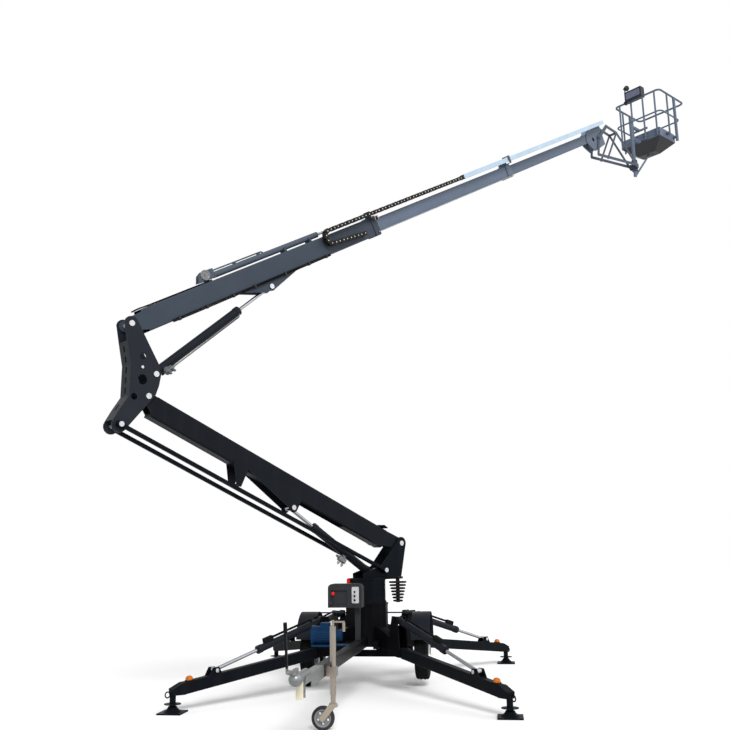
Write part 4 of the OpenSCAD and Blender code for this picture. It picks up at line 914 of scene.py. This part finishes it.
# guide of the cable carrier and rest of the chain, with places as for on_tele
GUIDE_ALONG, ROLLER_OFF = 7.977, 0.012
GUIDE_CHEEK = (0.05, 0.010, 0.136)
GUIDE_CHEEKS_AT = [[GUIDE_ALONG, across, 0.160] for across in (-0.2005, -0.0815)]
ROLLER = [(0, 0.066), (0.006, 0.066), (0.006, 0.058), (0.010, 0.056), (0.010, -0.056), (0.006, -0.058),
          (0.006, -0.066), (0, -0.066)]
ROLLERS_AT = [[GUIDE_ALONG + off, -0.141, 0.219] for off in (-ROLLER_OFF, ROLLER_OFF)]
REST_PLATE, REST_PLATE_AT = (0.09, 0.088, 0.014), [4.345, -0.142, 0.106]
REST_WEB, REST_WEBS_AT = (0.012, 0.080, 0.060), [[s, -0.138, 0.074] for s in (4.315, 4.375)]


class LIFT_OT_chain_guides(bpy.types.Operator):
    """Fit the frame that the cable carrier runs through, and the chain's rest on the base section"""

    bl_idname = "lift.chain_guides"
    bl_label = "Chain guides"

    def execute(self, context):
        f = finishes()
        cheeks = copies(soft_box(*GUIDE_CHEEK), on_tele(GUIDE_CHEEKS_AT), TELE_AXES)
        # the guide takes the tip carrier's lightened paint, a painted reflection
        add_piece("carrier_guide", cheeks, f.tip, "mid_boom")
        rollers = copies(lathe(ROLLER, sides=20), on_tele(ROLLERS_AT), np.stack([TELE_DIR, TELE_UP, ACROSS]))
        add_piece("carrier_rollers", rollers, f.dull, "mid_boom")
        rest = joined(copies(soft_box(*REST_PLATE), on_tele(REST_PLATE_AT), TELE_AXES),
                      copies(soft_box(*REST_WEB), on_tele(REST_WEBS_AT), TELE_AXES))
        add_piece("chain_rest", rest, f.tan, "base_boom")
        return {"FINISHED"}


# camera: frame width in millimetres, and how far it sees
FRAME_WIDTH, SIGHT = 36.0, 500.0


class LIFT_OT_stage(bpy.types.Operator):
    """Set the floor, the soft light and the camera"""

    bl_idname = "lift.stage"
    bl_label = "Stage"

    def execute(self, context):
        stage = context.scene.lift_stage
        context.scene.view_settings.view_transform = "Standard"
        self.floor(stage.floor_size)
        self.world(context.scene, stage.sky)
        self.lamp("key", turn=(50, 12, -38), strength=stage.key, spread=25)
        self.lamp("fill", turn=(58, -20, 60), strength=stage.fill, spread=60)
        self.camera(context.scene, stage)
        return {"FINISHED"}

    def floor(self, size):
        """A flat square; white where the camera sees it lit, with the object's soft shadow."""
        corner = size / 2 * np.array([[-1, -1, 0], [1, -1, 0], [1, 1, 0], [-1, 1, 0]])
        mesh = bpy.data.meshes.new("floor")
        mesh.from_pydata(corner.tolist(), [], [(0, 1, 2, 3)])
        material, t, shader = new_material("pale floor", rough=0.9)
        t.feed(FLOOR_WHITE, shader, "Base Color")
        mesh.materials.append(material)
        floor = bpy.data.objects.new("floor", mesh)
        bpy.context.scene.collection.objects.link(floor)

    def world(self, scene, sky):
        """White to the camera and in reflections, a plain grey sky as light."""
        world = bpy.data.worlds.new("studio")
        world.use_nodes = True
        scene.world = world
        t = Tree(world.node_tree)
        back = world.node_tree.nodes["Background"]
        ray = t.add("ShaderNodeLightPath").outputs
        shiny = t.add("ShaderNodeMath", {0: ray["Is Glossy Ray"], 1: ray["Is Transmission Ray"]},
                      operation="MAXIMUM").outputs[0]
        seen = t.add("ShaderNodeMath", {0: ray["Is Camera Ray"], 1: shiny}, operation="MAXIMUM").outputs[0]
        t.feed(t.between(seen, sky, 1.0), back, "Strength")
        t.feed(WHITE, back, "Color")

    def lamp(self, name, turn, strength, spread):
        """A wide soft sun, turned by degrees about x, y and z."""
        data = bpy.data.lights.new(name, "SUN")
        data.energy = strength
        data.angle = math.radians(spread)
        lamp = bpy.data.objects.new(name, data)
        lamp.rotation_euler = [math.radians(v) for v in turn]
        bpy.context.scene.collection.objects.link(lamp)

    def camera(self, scene, stage):
        """The photograph's view: place, aim, roll and lens."""
        data = bpy.data.cameras.new("camera")
        data.sensor_width = FRAME_WIDTH
        data.lens = stage.lens
        data.clip_end = SIGHT
        camera = bpy.data.objects.new("camera", data)
        turn = Vector(stage.aim).to_track_quat("-Z", "Y").to_matrix().to_4x4()
        camera.matrix_world = Matrix.Translation(stage.place) @ turn @ Matrix.Rotation(stage.roll, 4, "Z")
        scene.collection.objects.link(camera)
        scene.camera = camera


PIECES = (LIFT_OT_stage, LIFT_OT_paint_frame, LIFT_OT_tyres, LIFT_OT_chain_pins, LIFT_OT_controls,
          LIFT_OT_lamps, LIFT_OT_hydraulics, LIFT_OT_chain_guides)
GROUPS = (("lift_sizes", LiftSizes), ("lift_colours", LiftColours), ("lift_stage", LiftStage))


class LIFT_PT_panel(bpy.types.Panel):
    """Lists the pieces and their sizes"""

    bl_idname = "LIFT_PT_panel"
    bl_label = "Boom lift"
    bl_space_type = "VIEW_3D"
    bl_region_type = "UI"
    bl_category = "Boom lift"

    def draw(self, context):
        for piece in PIECES:
            self.layout.operator(piece.bl_idname)
        for name, kind in GROUPS:
            box = self.layout.box()
            for prop in kind.__annotations__:
                box.prop(getattr(context.scene, name), prop)


def register():
    """Makes the settings, operators and panel known."""
    for name, kind in GROUPS:
        bpy.utils.register_class(kind)
        setattr(bpy.types.Scene, name, bpy.props.PointerProperty(type=kind))
    for kind in (*PIECES, LIFT_PT_panel):
        bpy.utils.register_class(kind)


def unregister():
    """Takes them away again, last one first."""
    for kind in reversed((*PIECES, LIFT_PT_panel)):
        bpy.utils.unregister_class(kind)
    for name, kind in reversed(GROUPS):
        delattr(bpy.types.Scene, name)
        bpy.utils.unregister_class(kind)


def main():
    """Makes every piece in order."""
    register()
    for piece in PIECES:
        group, name = piece.bl_idname.split(".")
        getattr(getattr(bpy.ops, group), name)()


if __name__ == "__main__":
    main()
